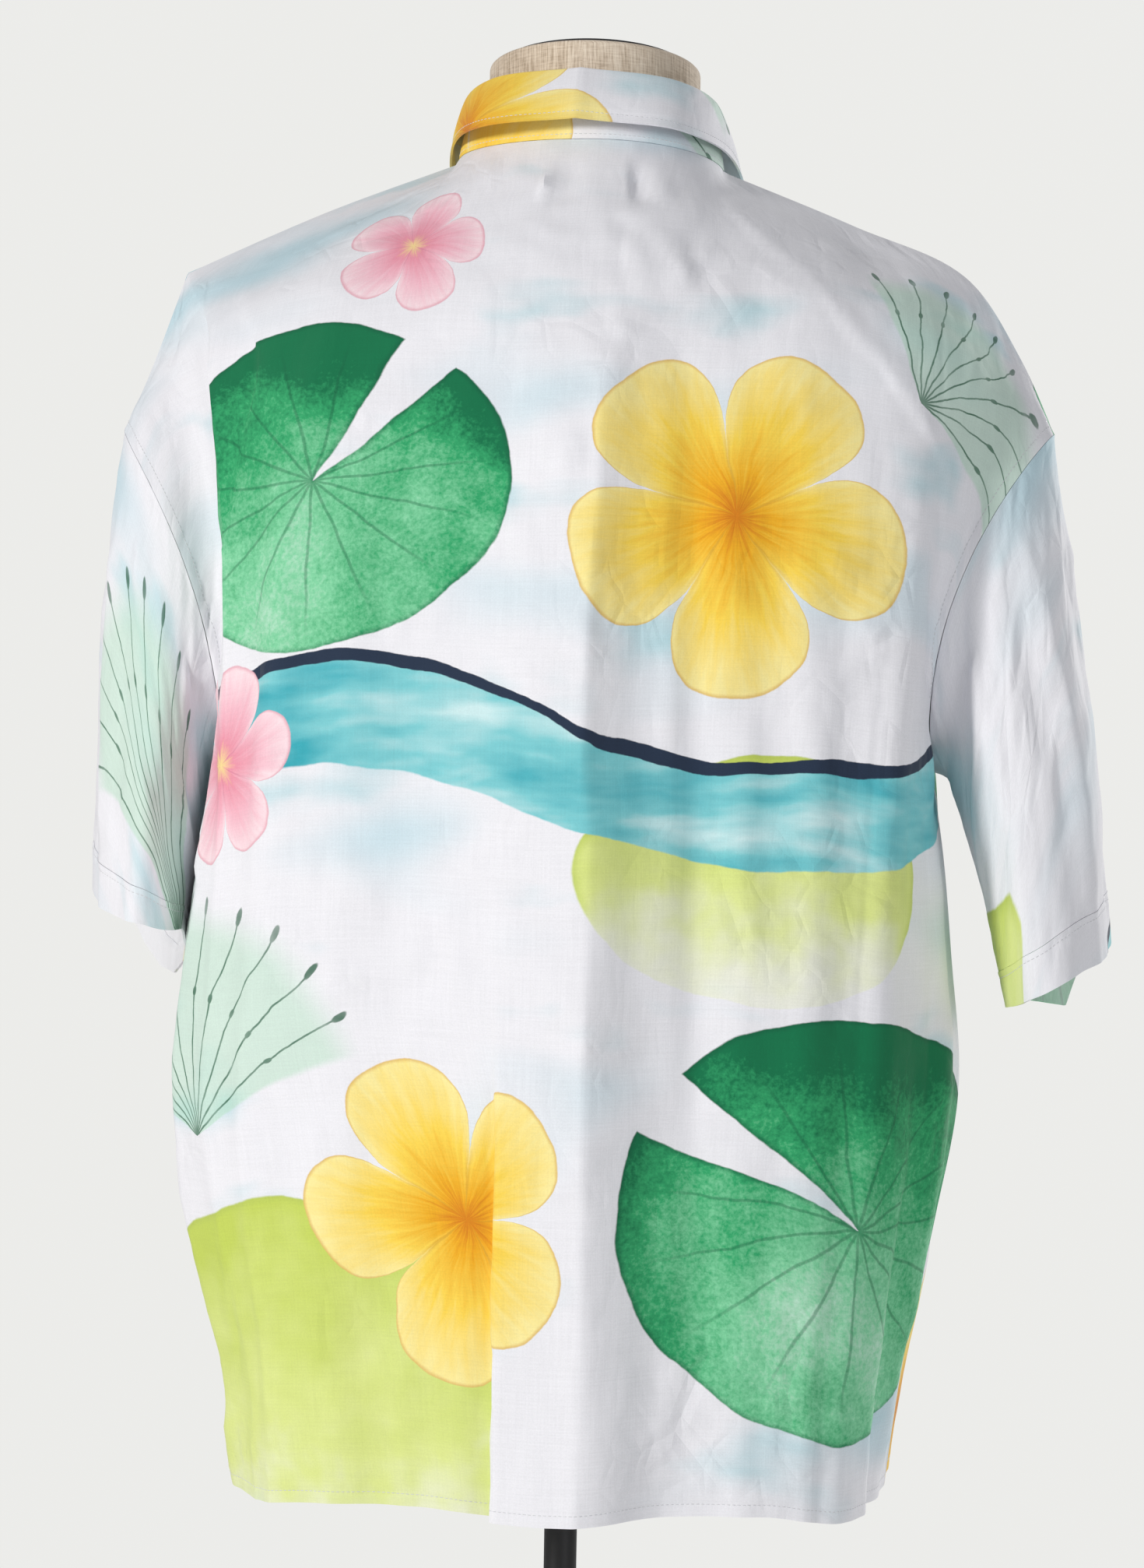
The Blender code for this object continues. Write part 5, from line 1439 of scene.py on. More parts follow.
def line_at(grid, normals, thickness, distance, target):
    """The line on a grid's outer side where each row reaches the target distance, with its normals."""
    points = grid + normals * np.broadcast_to(thickness, distance.shape)[..., None] / 2
    line, upward = [], []
    for n, row in enumerate(distance):
        place = np.interp(target, row, np.arange(len(row)))
        low = min(int(place), grid.shape[1] - 2)
        share = place - low
        line.append(points[n, low] * (1 - share) + points[n, low + 1] * share)
        upward.append(normals[n, low] * (1 - share) + normals[n, low + 1] * share)
    return np.array(line), unit(np.array(upward))


def flipped(*parts):
    """The same grids with their rows and columns exchanged."""
    return [np.swapaxes(part, 0, 1) for part in parts]


def hem_line(panel, height):
    return line_at(*flipped(panel.grid, panel.normals, panel.thickness, panel.b), height)


def side_line(panel, sign, distance, rows=slice(None)):
    """A line up a panel beside its edge on the given side, over some of its rows."""
    order = slice(None, None, -1) if sign > 0 else slice(None)
    a = panel.cut[rows][:, order, 0] * -sign
    parts = [part[rows][:, order] for part in (panel.grid, panel.normals, panel.thickness)]
    return line_at(*parts, a - a[:, :1], distance)


def build_sleeve(side, sign, back, front, paints):
    """A sleeve and its cuff, joined to the panels. Gives the cuff's line of stitches."""
    grid, normals, cut = make_sleeve(side, SLEEVE_SEED + sign)
    join_seams(back, front, normals, sign)
    body, cuff = slice(SLEEVE_ROWS + 1), slice(SLEEVE_ROWS, None)
    body_grid, cuff_grid = grid[body].copy(), grid[cuff].copy()
    low = (1 - np.cos(sleeve_places() * math.pi)) / 2
    moved_in(body_grid, 0, False, SEAM_INSET + UNDERARM_INSET * low**UNDERARM_POWER)
    moved_in(body_grid, 0, True, SEAM_INSET)
    moved_in(cuff_grid, 0, False, SEAM_INSET)
    cut = cut + np.array(SLEEVE_CUT[side])
    for kind, part, rows, thickness, rests_on in (
        ("sleeve", body_grid, body, CLOTH, "form_torso"),
        ("cuff", cuff_grid, cuff, CUFF_CLOTH, f"sleeve_{side}"),
    ):
        name = f"{kind}_{side}"
        made = cloth_piece(f"{name}_cloth", part, normals[rows], thickness, cut[rows], paints, closed=True)
        declare(made, name, sheet_size(part, closed=True), [rests_on])
    grid, upward, b = flipped(cuff_grid, normals[cuff], arcs(cuff_grid)[1])
    return [np.concatenate([part, part[:1]]) for part in line_at(grid, upward, CUFF_CLOTH, b, CUFF_STITCH)]


def build_body(paints, thread, torso):
    """The back panel, both fronts, both sleeves with their cuffs, and the stitches of their hems."""
    half = half_columns()
    back_u = np.concatenate([-half[:0:-1], half])
    left_u = np.concatenate([np.linspace(-OVERLAP_U, 0, OVERLAP_COLUMNS + 1)[:-1], half])
    back = make_panel(1, back_u, torso, BACK_FOLDS, BACK_CREASES, BACK_CRUMPLES, BACK_SEED)
    fronts = {}
    for side, us, lift in (("left", left_u, 1), ("right", -left_u[::-1], -1)):
        relief = (FRONT_FOLDS, FRONT_CREASES, FRONT_CRUMPLES, FRONT_SEED)
        fronts[side] = make_panel(-1, us, torso, *relief, lift)
    armhole = slice(ROWS_BELOW_ARMHOLE, None)
    runs = [hem_line(back, HEM_STITCH)]
    for side, sign in (("left", 1), ("right", -1)):
        front = fronts[side]
        cuff_line = build_sleeve(side, sign, back, front, paints)
        runs.append(hem_line(front, HEM_STITCH))
        runs += [side_line(panel, sign, ARMHOLE_STITCH, armhole) for panel in (front, back)]
        runs.append(cuff_line)
        for panel in (front, back):
            moved_in(panel.grid, 1, sign > 0, SEAM_INSET)
    for panel in (back, *fronts.values()):
        moved_in(panel.grid, 0, True, SEAM_INSET)
    runs += [side_line(fronts["left"], -1, EDGE_STITCH + more) for more in (0, FRONT_STITCH)]
    for name, panel, shift in (
        ("back", back, (0.0, 0.0)),
        ("front_left", fronts["left"], FRONT_CUT),
        ("front_right", fronts["right"], FRONT_CUT),
    ):
        cut = panel.cut + np.array(shift)
        made = cloth_piece(f"{name}_cloth", panel.grid, panel.normals, panel.thickness, cut, paints)
        declare(made, name, sheet_size(panel.grid), ["form_torso"])
    stitches("stitching", runs, thread)
    return fronts["left"]


def collar_grids(middle):
    """The points of the collar's stand, from the neckline up, and of its fall, from the fold line down."""
    ts = np.linspace(-1, 1, COLLAR_COLUMNS + 1)
    seam = np.array([collar_seam(t) for t in ts]) + UP * NECK_GAP
    fold, edge = collar_line(FOLD_LINE, ts), collar_line(FALL_EDGE, ts)
    stand = seam + (fold - seam) * np.linspace(0, 1, STAND_ROWS + 1)[:, None, None]
    out = unit((fold - middle) * (1, 1, 0))
    rows = [fold + out * a * MM + UP * b * MM for a, b in FALL_ROLL]
    for share in FALL_SHARES:
        rows.append(rows[2] + (edge - rows[2]) * share + out * FALL_BULGE * math.sin(math.pi * share))
    numbers = range(len(rows))
    fine = np.interp(np.linspace(0, 1, FALL_ROWS + 1), FALL_ROW_SHARES, numbers)
    fall = blend_rows(numbers, np.array(rows).reshape(len(rows), -1), fine)
    return stand, fall.reshape(len(fine), -1, 3)


def build_collar(paints, thread):
    """The collar's stand and its fall, with their stitches."""
    middle = np.array(COLLAR_MIDDLE)
    stand, fall = collar_grids(middle)
    runs = []
    for name, grid, seed, rests_on in (
        ("collar_stand", stand, STAND_SEED, ["back", "front_left", "front_right"]),
        ("collar_fall", fall, FALL_SEED, ["collar_stand"]),
    ):
        rising = name == "collar_stand"
        normals = grid_normals(grid, grid - middle)
        a, b = arcs(grid)
        a -= a[:, [COLLAR_COLUMNS // 2]]
        to_edge = b[-1] - b
        lift = COLLAR_WAVE * value_noise(a / FAINT_SIZE, b / FAINT_SIZE, seed)
        lift *= smoothstep(0, COLLAR_STILL, b) * smoothstep(0, COLLAR_STILL, to_edge)
        if not rising:
            ripple, size, reach, ripple_seed = FALL_RIPPLE
            lift += groove(to_edge, COLLAR_STITCH)
            lift += ripple * value_noise(a / size, b * 0, ripple_seed) * np.exp(-to_edge / reach)
        grid = grid + normals * lift[..., None]
        cut = np.stack([a, b if rising else -b], axis=2) + np.array(COLLAR_CUT)
        made = cloth_piece(f"{name}_cloth", grid, normals, COLLAR_CLOTH, cut, paints)
        declare(made, name, sheet_size(grid), rests_on)
        order, distance, place = (1, b, STAND_STITCH) if rising else (-1, to_edge, COLLAR_STITCH)
        points, upward, distance = flipped(*[part[::order] for part in (grid, normals, distance)])
        runs.append(line_at(points, upward, COLLAR_CLOTH, distance, place))
    stitches("collar_stitching", runs, thread)


def circle(radius, sides, start=0.0):
    """Points of a level circle round the origin, as rows of x and y."""
    turns = start + 2 * math.pi * np.arange(sides) / sides
    return radius * np.stack([np.cos(turns), np.sin(turns)], axis=1)


def button_mesh():
    """A button in its own frame, lying on z = 0: a raised rim, a sunken middle and four holes through it."""
    bm = bmesh.new()

    def ring_at(points, height):
        return [bm.verts.new((x, y, height)) for x, y in points]

    def join(low, high):
        for n in range(len(low)):
            m = (n + 1) % len(low)
            bm.faces.new((low[n], low[m], high[m], high[n]))

    half_step = math.pi / BUTTON_SIDES
    rings = [ring_at(circle(r * MM, BUTTON_SIDES, half_step), z * MM) for r, z in BUTTON_SECTION]
    for low, high in zip(rings, rings[1:]):
        join(low, high)
    # The flat floors have four holes each, joined by short tubes
    quarter = BUTTON_SIDES // 4
    floors = []
    for ring, order in ((rings[0], -1), (rings[-1], 1)):
        height = ring[0].co.z
        centre = bm.verts.new((0, 0, height))
        rim = ring + ring[:1]
        holes = []
        for n, place in enumerate(circle(HOLE_PLACE * math.sqrt(2), 4, math.pi / 4 + half_step)):
            inward = math.atan2(-place[1], -place[0])
            hole = ring_at(place + circle(HOLE_RADIUS, HOLE_SIDES, inward), height)
            start, end = n * quarter, (n + 1) * quarter
            faces = [(centre, rim[start], hole[1], hole[0]), (centre, hole[0], hole[-1], rim[end])]
            step = quarter // (HOLE_SIDES - 2)
            for k in range(HOLE_SIDES - 2):
                first = start + k * step
                faces.append((hole[k + 1], *rim[first : first + step + 1], hole[k + 2]))
            for face in faces:
                bm.faces.new(face[::order])
            holes.append(hole)
        floors.append(holes)
    for low, high in zip(*floors):
        join(high, low)
    bmesh.ops.recalc_face_normals(bm, faces=bm.faces)
    bm.verts.index_update()
    points = np.array([v.co for v in bm.verts])
    faces = [[v.index for v in f.verts] for f in bm.faces]
    bm.free()
    return points, faces


def build_buttons(front, shell, thread):
    """Four-hole buttons down the left front, each with its thread and the stitched hole under it."""
    points, faces = button_mesh()
    lift = CLOTH / 2 + BUTTON_CLEARANCE
    turns = np.linspace(0, 2 * math.pi, BUTTONHOLE_STEPS)
    half_width, half_length = BUTTONHOLE
    oval = [np.cos(turns) * half_width, np.sin(turns) * half_length, turns * 0 + CLOTH / 2]
    oval = np.stack(oval, axis=1)
    threads = []
    for x in (-1, 1):
        ends = [np.array([x, y, 0]) * HOLE_PLACE + UP * (lift + BUTTON_FLOOR) for y in (-1, 1)]
        threads.append(np.linspace(*ends, THREAD_POINTS))
    column = int(np.argmin(np.abs(front.us)))
    runs = []
    for n, v in enumerate(np.linspace(BUTTON_FIRST_V, BUTTON_LAST_V, BUTTON_COUNT)):
        place = blend_rows(front.vs, front.grid[:, column], v)[0]
        axis = unit(blend_rows(front.vs, front.normals[:, column], v)[0])
        across = unit(np.cross(axis, UP))
        turn = np.stack([across, np.cross(across, axis), axis])
        name = f"button_{n + 1}"
        disc = new_object(f"{name}_disc", place + (points + UP * lift) @ turn, faces, [shell], sharp=50)
        declare(disc, name)
        for line in (*threads, oval):
            runs.append((place + line @ turn, np.repeat(axis[None], len(line), axis=0)))
    stitches("button_stitching", runs, thread, BUTTON_STITCHES)


def neck_rings():
    """The neck block: a slanting foot, a less slanting top and a small bevel round it."""
    top = TORSO[-1]
    middle = (top.y_front + top.y_back) / 2 * MM
    foot = top.z * MM + (NECK_CENTRE[1] - middle) * NECK_FOOT_SLOPE + TOUCH_GAP
    shoulder = NECK_TOP_Z - NECK_BEVEL
    rings = []
    for share in np.linspace(0, 1, NECK_RINGS):
        slope = NECK_FOOT_SLOPE + (NECK_TOP_SLOPE - NECK_FOOT_SLOPE) * share
        rings.append(round_ring(NECK_RADIUS, foot + (shoulder - foot) * share, NECK_CENTRE, slope))
    for turn in np.radians(NECK_BEVEL_TURNS):
        inset, drop = NECK_BEVEL * (1 - math.cos(turn)), NECK_BEVEL * (1 - math.sin(turn))
        rings.append(round_ring(NECK_RADIUS - inset, NECK_TOP_Z - drop, NECK_CENTRE, NECK_TOP_SLOPE))
    return rings


def build_form(linen, black, cap_paint):
    """The dress form: torso, neck block, cap, pole and base."""
    cap_z = NECK_TOP_Z + TOUCH_GAP
    cap = [
        round_ring(CAP_RADIUS - inset * MM, cap_z + height * MM, NECK_CENTRE, NECK_TOP_SLOPE)
        for inset, height in CAP_SECTION
    ]
    pole = [round_ring(POLE_RADIUS, z) for z in (HUB_TOP_Z + TOUCH_GAP, TORSO_BOTTOM_Z - TOUCH_GAP)]
    base = [round_ring(radius * MM, z * MM) for radius, z in BASE_SECTION]
    for name, node, slot, rings, paint, sharp in (
        ("form_torso_linen", "form_torso", "linen", torso_rings(), linen, 40),
        ("form_neck_linen", "form_neck", "linen", neck_rings(), linen, 40),
        ("form_cap_disc", "form_cap", "cap", cap, cap_paint, 60),
        ("pole_tube", "pole", "black_metal", pole, black, 40),
        ("base_plate", "base", "black_metal", base, black, 60),
    ):
        declare(loft(name, rings, paint, sharp), node)


# Materials


def srgb(*colour):
    """A colour given as on a screen, from 0 to 255, in the renderer's own numbers."""
    shares = [c / 255 for c in colour]
    return tuple(s / 12.92 if s <= 0.04045 else ((s + 0.055) / 1.055) ** 2.4 for s in shares) + (1.0,)


class Value:
    """The output of a shader node. Arithmetic with it adds the nodes that work out the result."""

    def __init__(self, tree, socket):
        self.tree = tree
        self.socket = socket

    def __add__(self, other):
        return self.tree.math("ADD", self, other)

    def __sub__(self, other):
        return self.tree.math("SUBTRACT", self, other)

    def __rsub__(self, other):
        return self.tree.math("SUBTRACT", other, self)

    def __mul__(self, other):
        return self.tree.math("MULTIPLY", self, other)

    def __truediv__(self, other):
        return self.tree.math("DIVIDE", self, other)


class Tree:
    """Chains shader nodes. An input is a number, a tuple or a value of another node."""

    def __init__(self, tree):
        self.tree = tree

    def put(self, socket, value):
        if isinstance(value, Value):
            self.tree.links.new(value.socket, socket)
        elif value is not None:
            socket.default_value = value

    def add(self, kind, *values, output=0, **settings):
        """A new node with its first inputs set. Gives the output with that number or name."""
        node = self.tree.nodes.new(kind)
        for name, setting in settings.items():
            setattr(node, name, setting)
        for socket, value in zip(node.inputs, values):
            self.put(socket, value)
        return Value(self, node.outputs[output])

    def named(self, kind, output=0, **values):
        """A new node with some inputs set by their names."""
        node = self.tree.nodes.new(kind)
        for name, value in values.items():
            self.put(node.inputs[name], value)
        return Value(self, node.outputs[output])

    def math(self, operation, *values, clamp=False):
        return self.add("ShaderNodeMath", *values, operation=operation, use_clamp=clamp)

    def vector(self, operation, *values, output=0):
        return self.add("ShaderNodeVectorMath", *values, output=output, operation=operation)

    def length(self, vector):
        return self.vector("LENGTH", vector, output="Value")

    def noise(self, place, scale, detail=2.0, roughness=0.5, output=0):
        named = {"Vector": place, "Scale": scale, "Detail": detail, "Roughness": roughness}
        return self.named("ShaderNodeTexNoise", output, **named)

    def bump(self, height, distance, strength=1.0, below=None):
        """A direction tilted by the height's relief, over the relief below if there is one."""
        return self.named("ShaderNodeBump", Height=height, Distance=distance, Strength=strength, Normal=below)

    def step(self, value, low, high):
        """0 below low, 1 above high, and smooth between them."""
        return self.add("ShaderNodeMapRange", value, low, high, 0.0, 1.0, interpolation_type="SMOOTHSTEP")

    def mix(self, share, below, above, blend="MIX"):
        node = self.tree.nodes.new("ShaderNodeMix")
        node.data_type = "RGBA"
        node.blend_type = blend
        for index, value in ((0, share), (6, below), (7, above)):
            self.put(node.inputs[index], value)
        return Value(self, node.outputs[2])

    def ramp(self, value, stops):
        """The colour at a value between stops, each with its place and its screen colour."""
        node = self.tree.nodes.new("ShaderNodeValToRGB")
        elements = node.color_ramp.elements
        while len(elements) < len(stops):
            elements.new(0.5)
        for element, (place, colour) in zip(elements, stops):
            element.position = place
            element.color = srgb(*colour)
        self.put(node.inputs[0], value)
        return Value(self, node.outputs[0])

    def apart(self, vector):
        x = self.add("ShaderNodeSeparateXYZ", vector)
        return x, Value(self, x.socket.node.outputs[1])

    def together(self, x, y, z=0.0):
        return self.add("ShaderNodeCombineXYZ", x, y, z)

    def scaled(self, vector, x, y):
        return self.vector("MULTIPLY", vector, (x, y, 1.0))

    def weave(self, place, weft, warp, detail, roughness):
        """The strength of the threads across and along the cloth, each with its own threads to the metre."""
        return [self.noise(self.scaled(place, *way), 1.0, detail, roughness) for way in (weft, warp)]


def seen_from(t, place, at, squash=1.0):
    """Where the place lies from a motif in the nearest repeat of the print: x, y and how far."""
    half = (REPEAT[0] / 2, REPEAT[1] / 2, 1.0)
    spot = t.vector("WRAP", t.vector("SUBTRACT", place, (*at, 0.0)), half, tuple(-h for h in half))
    spot = t.scaled(spot, 1.0, squash)
    return *t.apart(spot), t.length(spot)


def angle_from(t, x, y, start):
    """The angle of a place, and how far it has turned from the start to either side."""
    angle = t.math("ARCTAN2", y, x)
    return angle, t.math("ABSOLUTE", t.math("WRAP", angle - start, math.pi, -math.pi))


def rays_from(t, angle, far, count):
    """How far a place lies from the nearest of the rays round a motif's middle."""
    return t.math("PINGPONG", angle * (count / math.pi), 1.0) * far * (math.pi / count)


def wash(t, below, place, at, radius, squash):
    """A round wash whose colour pools along its upper side and thins out downwards."""
    _, y, far = seen_from(t, place, at, squash)
    inside = radius - far
    pool = t.noise(place, scale=16.0, detail=3.0, roughness=0.6)
    tone = (pool - 0.5) * 0.9 + (y * (-0.5 / radius) + 0.5)
    rim = (1.0 - t.step(inside, 0.0, 7.0 * MM)) * t.step(tone, 0.9, 0.1)
    colour = t.mix(rim, t.ramp(tone, LIME_STOPS), srgb(*LIME_LINE))
    strength = t.step(tone, 1.0, 0.5) * 0.6 + 0.4
    return t.mix(t.step(inside, -0.5 * MM, 1.5 * MM) * strength, below, colour)


def pad(t, below, place, at, radius, squash, notch):
    """A round floating leaf in wet colour, deep at its upper rim, with a notch and fine veins."""
    x, y, far = seen_from(t, place, at, squash)
    angle, off = angle_from(t, x, y, notch)
    inside = t.math("MINIMUM", radius - far, off * far - far * NOTCH)
    share = far / radius
    deep = t.math("POWER", share, 3.0) * -0.34 + (y * (-0.42 / radius) + 0.46)
    tone = (t.noise(place, scale=14.0, detail=4.0, roughness=0.62) - 0.5) * 1.1 + deep
    tone = (t.noise(place, scale=330.0, detail=2.0, roughness=0.7) - 0.5) * 0.55 + tone
    line = srgb(*GREEN_LINE)
    vein = t.step(rays_from(t, angle - notch, far, VEINS), 1.5 * MM, 0.4 * MM) * t.step(share, 0.98, 0.55)
    colour = t.mix(vein * 0.45, t.ramp(tone, GREEN_STOPS), line)
    wet = t.step(inside, 5.0 * MM, 0.0) * t.step(tone, 1.0, 0.2)
    colour = t.mix(wet * 0.7, colour, line)
    return t.mix(t.step(inside, -0.4 * MM, 1.0 * MM), below, colour)


def ribbon(t, below, place, at, half_width, wave, wave_length):
    """A long wavy band of water with a thin dark line along its upper side."""
    x, y, _ = seen_from(t, place, at)
    height = y - t.math("SINE", x * (2 * math.pi / wave_length)) * wave
    inside = half_width - t.math("ABSOLUTE", height)
    colour = t.ramp(t.noise(t.scaled(place, 0.35, 1.3), scale=26.0, detail=3.0, roughness=0.55), WATER_STOPS)
    below = t.mix(t.step(inside, -0.5 * MM, 1.0 * MM), below, colour)
    width = t.noise(place, scale=9.0, detail=1.0) * (7.0 * MM) + 0.5 * MM
    line = width - t.math("ABSOLUTE", height - half_width)
    return t.mix(t.step(line, 0.0, 0.8 * MM), below, srgb(*WATER_LINE))


def umbel(t, below, place, at, radius, rays, turn, spread):
    """A seed head in fine lines: rays that fan out from its stem, each with a drop at its end."""
    x, y, far = seen_from(t, place, at)
    angle, off = angle_from(t, x, y, turn)
    fan = t.step(off, spread, spread - 0.05)
    aside = rays_from(t, angle, far, rays)
    reach = radius - far
    ink = t.step(aside, 0.9 * MM, 0.35 * MM) * t.step(reach, 0.0, 2.0 * MM)
    for length, flat, outer, inner in ((reach, 0.42, 2.6, 1.9), (INNER_DROPS * radius - far, 0.5, 1.9, 1.3)):
        drop = t.length(t.together(aside, length * flat))
        ink = t.math("MAXIMUM", ink, t.step(drop, outer * MM, inner * MM))
    below = t.mix(t.step(reach, -6.0 * MM, 22.0 * MM) * (fan * 0.55), below, srgb(*SEED_WASH))
    strength = t.math("MULTIPLY_ADD", t.noise(place, scale=60.0), 0.8, 0.35, clamp=True)
    return t.mix(ink * fan * strength, below, srgb(*SEED_LINE))


def blossom(t, below, place, at, radius, petals, turn, kind):
    """A watercolour flower with round petals, coloured from its heart to its rim."""
    x, y, far = seen_from(t, place, at)
    angle = t.math("ARCTAN2", y, x) + turn
    wave = t.math("PINGPONG", angle * (petals / math.pi), 1.0)
    lobe = t.math("SQRT", t.math("SUBTRACT", 1.0, t.math("POWER", wave, PETAL_ROUNDNESS), clamp=True))
    rim = lobe * ((1 - HEART) * radius) + HEART * radius
    inside, share = rim - far, far / rim
    streaks = t.noise(t.together(angle * 4.0, far * 9.0), scale=3.0, detail=3.0, roughness=0.6)
    colour = t.ramp((streaks - 0.5) * 0.55 + share, PETAL_STOPS[kind])
    dark = 1.0 - t.step(inside, 0.0, 3.0 * MM)
    vein = t.step(wave, 0.90, 1.0) * t.step(share, 1.0, 0.4)
    colour = t.mix(t.math("MAXIMUM", dark, vein) * 0.55, colour, srgb(*PETAL_LINES[kind]))
    return t.mix(t.step(inside, -0.3 * MM, 0.7 * MM), below, colour)


def print_group():
    """The print on white, by the cut's metres: flowers, floating leaves, seed heads and bands of water."""
    group = bpy.data.node_groups.new("print", "ShaderNodeTree")
    group.interface.new_socket("Place", in_out="INPUT", socket_type="NodeSocketVector")
    group.interface.new_socket("Colour", in_out="OUTPUT", socket_type="NodeSocketColor")
    t = Tree(group)
    entry = t.add("NodeGroupInput")
    leave = group.nodes.new("NodeGroupOutput").inputs[0]
    place = entry
    for scale, reach in WET_EDGES:
        shift = t.vector("SUBTRACT", t.noise(entry, scale=scale, output="Color"), (0.5, 0.5, 0.5))
        place = t.vector("ADD", place, t.vector("MULTIPLY", shift, (reach, reach, reach)))
    colour = srgb(*GROUND)
    for flat, scale, detail, edge, shade in CLOUDS:
        cloud = t.noise(t.scaled(place, *flat), scale=scale, detail=detail)
        colour = t.mix(t.step(cloud, *edge), colour, srgb(*shade))
    for motif, rows in (
        (wash, LIME_WASHES),
        (pad, PADS),
        (ribbon, RIBBONS),
        (umbel, UMBELS),
        (blossom, BLOSSOMS),
    ):
        for row in rows:
            colour = motif(t, colour, place, *row)
    tone = (t.noise(entry, scale=900.0, detail=2.0, roughness=0.6) - 0.5) * 0.16 + 1.0
    tone = (t.noise(entry, scale=34.0, detail=4.0, roughness=0.65) - 0.5) * 0.07 + tone
    weft, warp = t.weave(entry, (22.0, 900.0), (900.0, 22.0), detail=2.0, roughness=0.6)
    tone = (weft + warp - 1.0) * 0.10 + tone
    t.put(leave, t.mix(1.0, colour, t.together(tone, tone, tone), "MULTIPLY"))
    return group


def surface(name, roughness, specular=0.3, sheen=0.0):
    """A material, its tree of nodes and the inputs of its shader."""
    made = bpy.data.materials.new(name)
    made.use_nodes = True
    shader = made.node_tree.nodes["Principled BSDF"].inputs
    shader["Roughness"].default_value = roughness
    shader["Specular IOR Level"].default_value = specular
    shader["Sheen Weight"].default_value = sheen
    return made, Tree(made.node_tree), shader


def printed_cloth(name, group, fading):
    """Printed cloth with its weave and fine wrinkles. fading is how much of the print the side has lost."""
    made, t, shader = surface(name, roughness=0.82, specular=0.22, sheen=0.15)
    place = t.add("ShaderNodeUVMap", uv_map="cut")
    colour = t.add("ShaderNodeGroup", place, node_tree=group)
    if fading:
        worn = t.noise(place, scale=40.0) * 0.2 + (fading - 0.1)
        colour = t.mix(worn, colour, srgb(*WORN))
    t.put(shader["Base Color"], colour)
    folds = t.math("ABSOLUTE", t.noise(t.scaled(place, 1.0, 0.35), scale=42.0) - 0.5)
    relief = t.bump(folds, distance=5.0 * MM, strength=0.22)
    for scale, depth, squeeze in CRISP_CREASES:
        cells = t.scaled(place, 1.0, squeeze)
        edge = t.add("ShaderNodeTexVoronoi", cells, None, scale, feature="DISTANCE_TO_EDGE")
        crisp = t.math("MINIMUM", edge, CRISP_REACH)
        patch = t.step(t.noise(place, scale=CRISP_PATCH, detail=1.0), 0.42, 0.64)
        patch = patch * t.step(t.noise(place, scale=scale, detail=0.0), 0.40, 0.60)
        relief = t.bump(crisp * patch, distance=depth * MM / CRISP_REACH, strength=1.0, below=relief)
    wrinkles = t.noise(t.scaled(place, 1.0, 0.6), scale=120.0)
    relief = t.bump(wrinkles, distance=0.9 * MM, strength=0.14, below=relief)
    weft, warp = t.weave(place, (45.0, 1500.0), (1500.0, 45.0), detail=3.0, roughness=0.65)
    t.put(shader["Normal"], t.bump(weft + warp, distance=0.10 * MM, strength=0.6, below=relief))
    return made


def thread_paint():
    """Twisted sewing thread."""
    made, t, shader = surface("thread", roughness=0.6, specular=0.3, sheen=0.3)
    twist = t.noise(t.add("ShaderNodeTexCoord", output="Object"), scale=2600.0)
    t.put(shader["Base Color"], t.mix(twist, *[srgb(*colour) for colour in THREAD_COLOURS]))
    t.put(shader["Normal"], t.bump(twist, distance=0.08 * MM, strength=0.6))
    return made


def linen_paint():
    """Linen with uneven threads and slubs."""
    made, t, shader = surface("linen_weave", roughness=0.88, specular=0.2, sheen=0.25)
    place = t.add("ShaderNodeUVMap", uv_map="cut")
    weft, warp = t.weave(place, (90.0, 800.0), (800.0, 40.0), detail=3.0, roughness=0.7)
    tone = (t.noise(place, scale=22.0, detail=3.0, roughness=0.6) - 0.5) * 0.3 + (warp * 0.68 + weft * 0.32)
    t.put(shader["Base Color"], t.ramp(tone, LINEN_STOPS))
    slubs = t.bump(t.noise(t.scaled(place, 30.0, 420.0), scale=1.0), distance=0.25 * MM, strength=0.6)
    t.put(shader["Normal"], t.bump(weft + warp, distance=0.22 * MM, strength=0.9, below=slubs))
    return made


def painted_metal(name, dark, light, roughness):
    """Powder-coated metal: fine orange peel, and a slow change of gloss."""
    made, t, shader = surface(name, roughness=roughness, specular=0.5)
    place = t.add("ShaderNodeTexCoord", output="Object")
    dust = t.step(t.noise(place, scale=14.0, detail=4.0, roughness=0.6), 0.45, 0.8)
    t.put(shader["Base Color"], t.mix(dust, srgb(*dark), srgb(*light)))
    t.put(shader["Roughness"], t.noise(place, scale=45.0, detail=3.0) * 0.25 + (roughness - 0.12))
    t.put(shader["Normal"], t.bump(t.noise(place, scale=900.0), distance=0.06 * MM, strength=0.5))
    return made


def shell_paint():
    """Pale button shell with faint bands."""
    made, t, shader = surface("button_shell", roughness=0.28, specular=0.5)
    shader["Coat Weight"].default_value = 0.3
    place = t.add("ShaderNodeTexCoord", output="Object")
    bands = t.noise(t.scaled(place, 1.0, 3.0), scale=220.0, detail=3.0, roughness=0.6)
    t.put(shader["Base Color"], t.ramp(bands, SHELL_STOPS))
    t.put(shader["Normal"], t.bump(bands, distance=0.05 * MM, strength=0.4))
    return made


# Camera, lights and floor


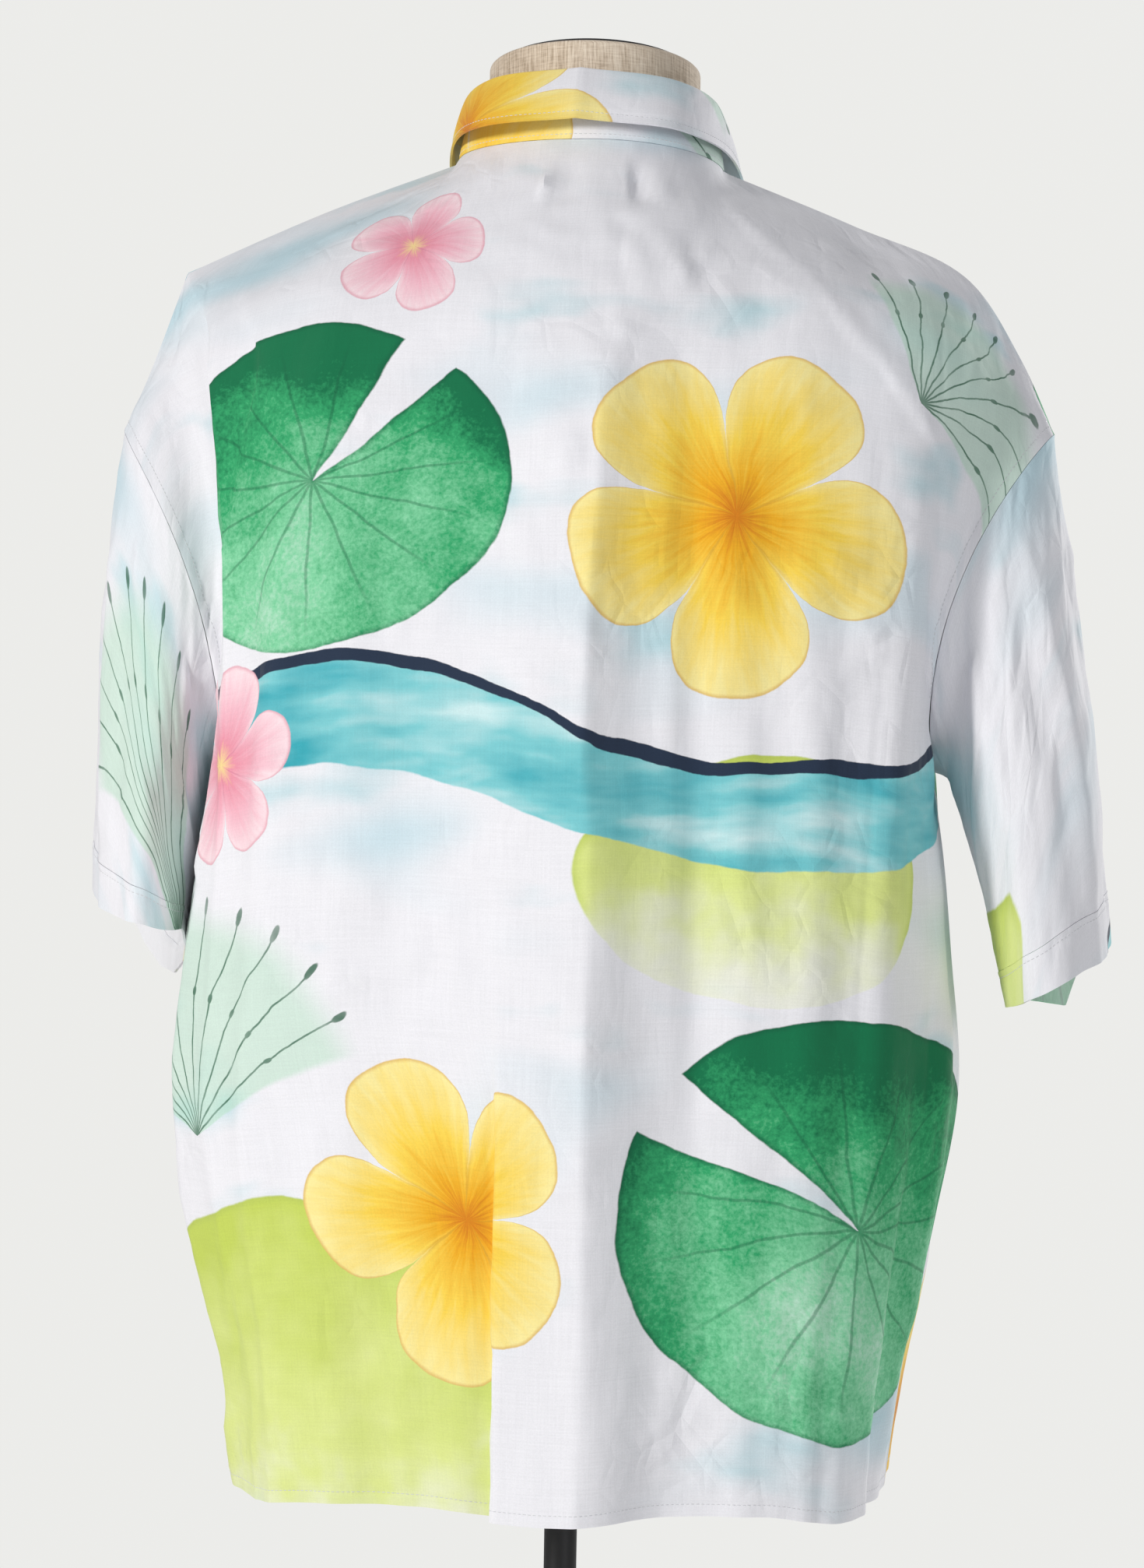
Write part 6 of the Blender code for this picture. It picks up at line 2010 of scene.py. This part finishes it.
def build_camera():
    data = bpy.data.cameras.new("camera")
    data.lens = CAMERA_LENS
    data.sensor_fit = "AUTO"
    data.sensor_width = CAMERA_FILM
    data.shift_x = CAMERA_SHIFT
    made = bpy.data.objects.new("camera", data)
    away = Matrix.Rotation(CAMERA_TURN, 3, "Z") @ Vector((0.0, CAMERA_DISTANCE, CAMERA_HEIGHT))
    turn = Matrix.Rotation(math.pi + CAMERA_TURN, 4, "Z") @ Matrix.Rotation(math.pi / 2, 4, "X")
    made.matrix_world = Matrix.Translation(away) @ turn @ Matrix.Rotation(CAMERA_ROLL, 4, "Z")
    bpy.context.scene.collection.objects.link(made)
    bpy.context.scene.camera = made


def build_light(name, place, target, size, power, colour):
    data = bpy.data.lights.new(name, "AREA")
    data.shape = "DISK"
    data.size = size
    data.energy = power
    data.color = colour
    made = bpy.data.objects.new(name, data)
    made.location = place
    made.rotation_euler = (Vector(target) - Vector(place)).to_track_quat("-Z", "Y").to_euler()
    bpy.context.scene.collection.objects.link(made)


def build_world():
    """A plain pale background for the camera, and a dimmer sky that lights the scene."""
    world = bpy.data.worlds.new("studio")
    world.use_nodes = True
    t = Tree(world.node_tree)
    t.tree.nodes.clear()
    rays = t.add("ShaderNodeLightPath", output="Is Camera Ray")
    sky = t.add("ShaderNodeBackground", SKY_COLOUR, SKY_LIGHT)
    shown = t.add("ShaderNodeBackground", BACKGROUND, 1.0)
    end = t.tree.nodes.new("ShaderNodeOutputWorld")
    t.put(end.inputs[0], t.add("ShaderNodeMixShader", rays, sky, shown))
    bpy.context.scene.world = world


def build_floor():
    made, t, shader = surface("floor_paint", roughness=0.7, specular=0.2)
    place = t.add("ShaderNodeTexCoord", output="Object")
    t.put(shader["Base Color"], t.mix(t.noise(place, scale=3.0, detail=3.0), *FLOOR_COLOURS))
    ring = [(x, y, -FLOOR_DROP) for x, y in circle(FLOOR_RADIUS, FLOOR_SIDES)]
    new_object("floor", ring, [list(range(FLOOR_SIDES))], [made])


def main():
    build_camera()
    group = print_group()
    cloth = [printed_cloth("printed_cloth", group, 0.0), printed_cloth("cloth_inside", group, FADING)]
    thread = thread_paint()
    linen = linen_paint()
    black = painted_metal("black_metal_paint", *BLACK_METAL)
    cap_paint = painted_metal("cap_paint", *CAP_METAL)
    shell = shell_paint()
    left_front = build_body(cloth, thread, torso_surface())
    build_collar(cloth, thread)
    build_buttons(left_front, shell, thread)
    build_form(linen, black, cap_paint)
    for light in LIGHTS:
        build_light(*light)
    build_world()
    build_floor()
    view = bpy.context.scene.view_settings
    view.view_transform = "Standard"
    view.look = "None"


main()
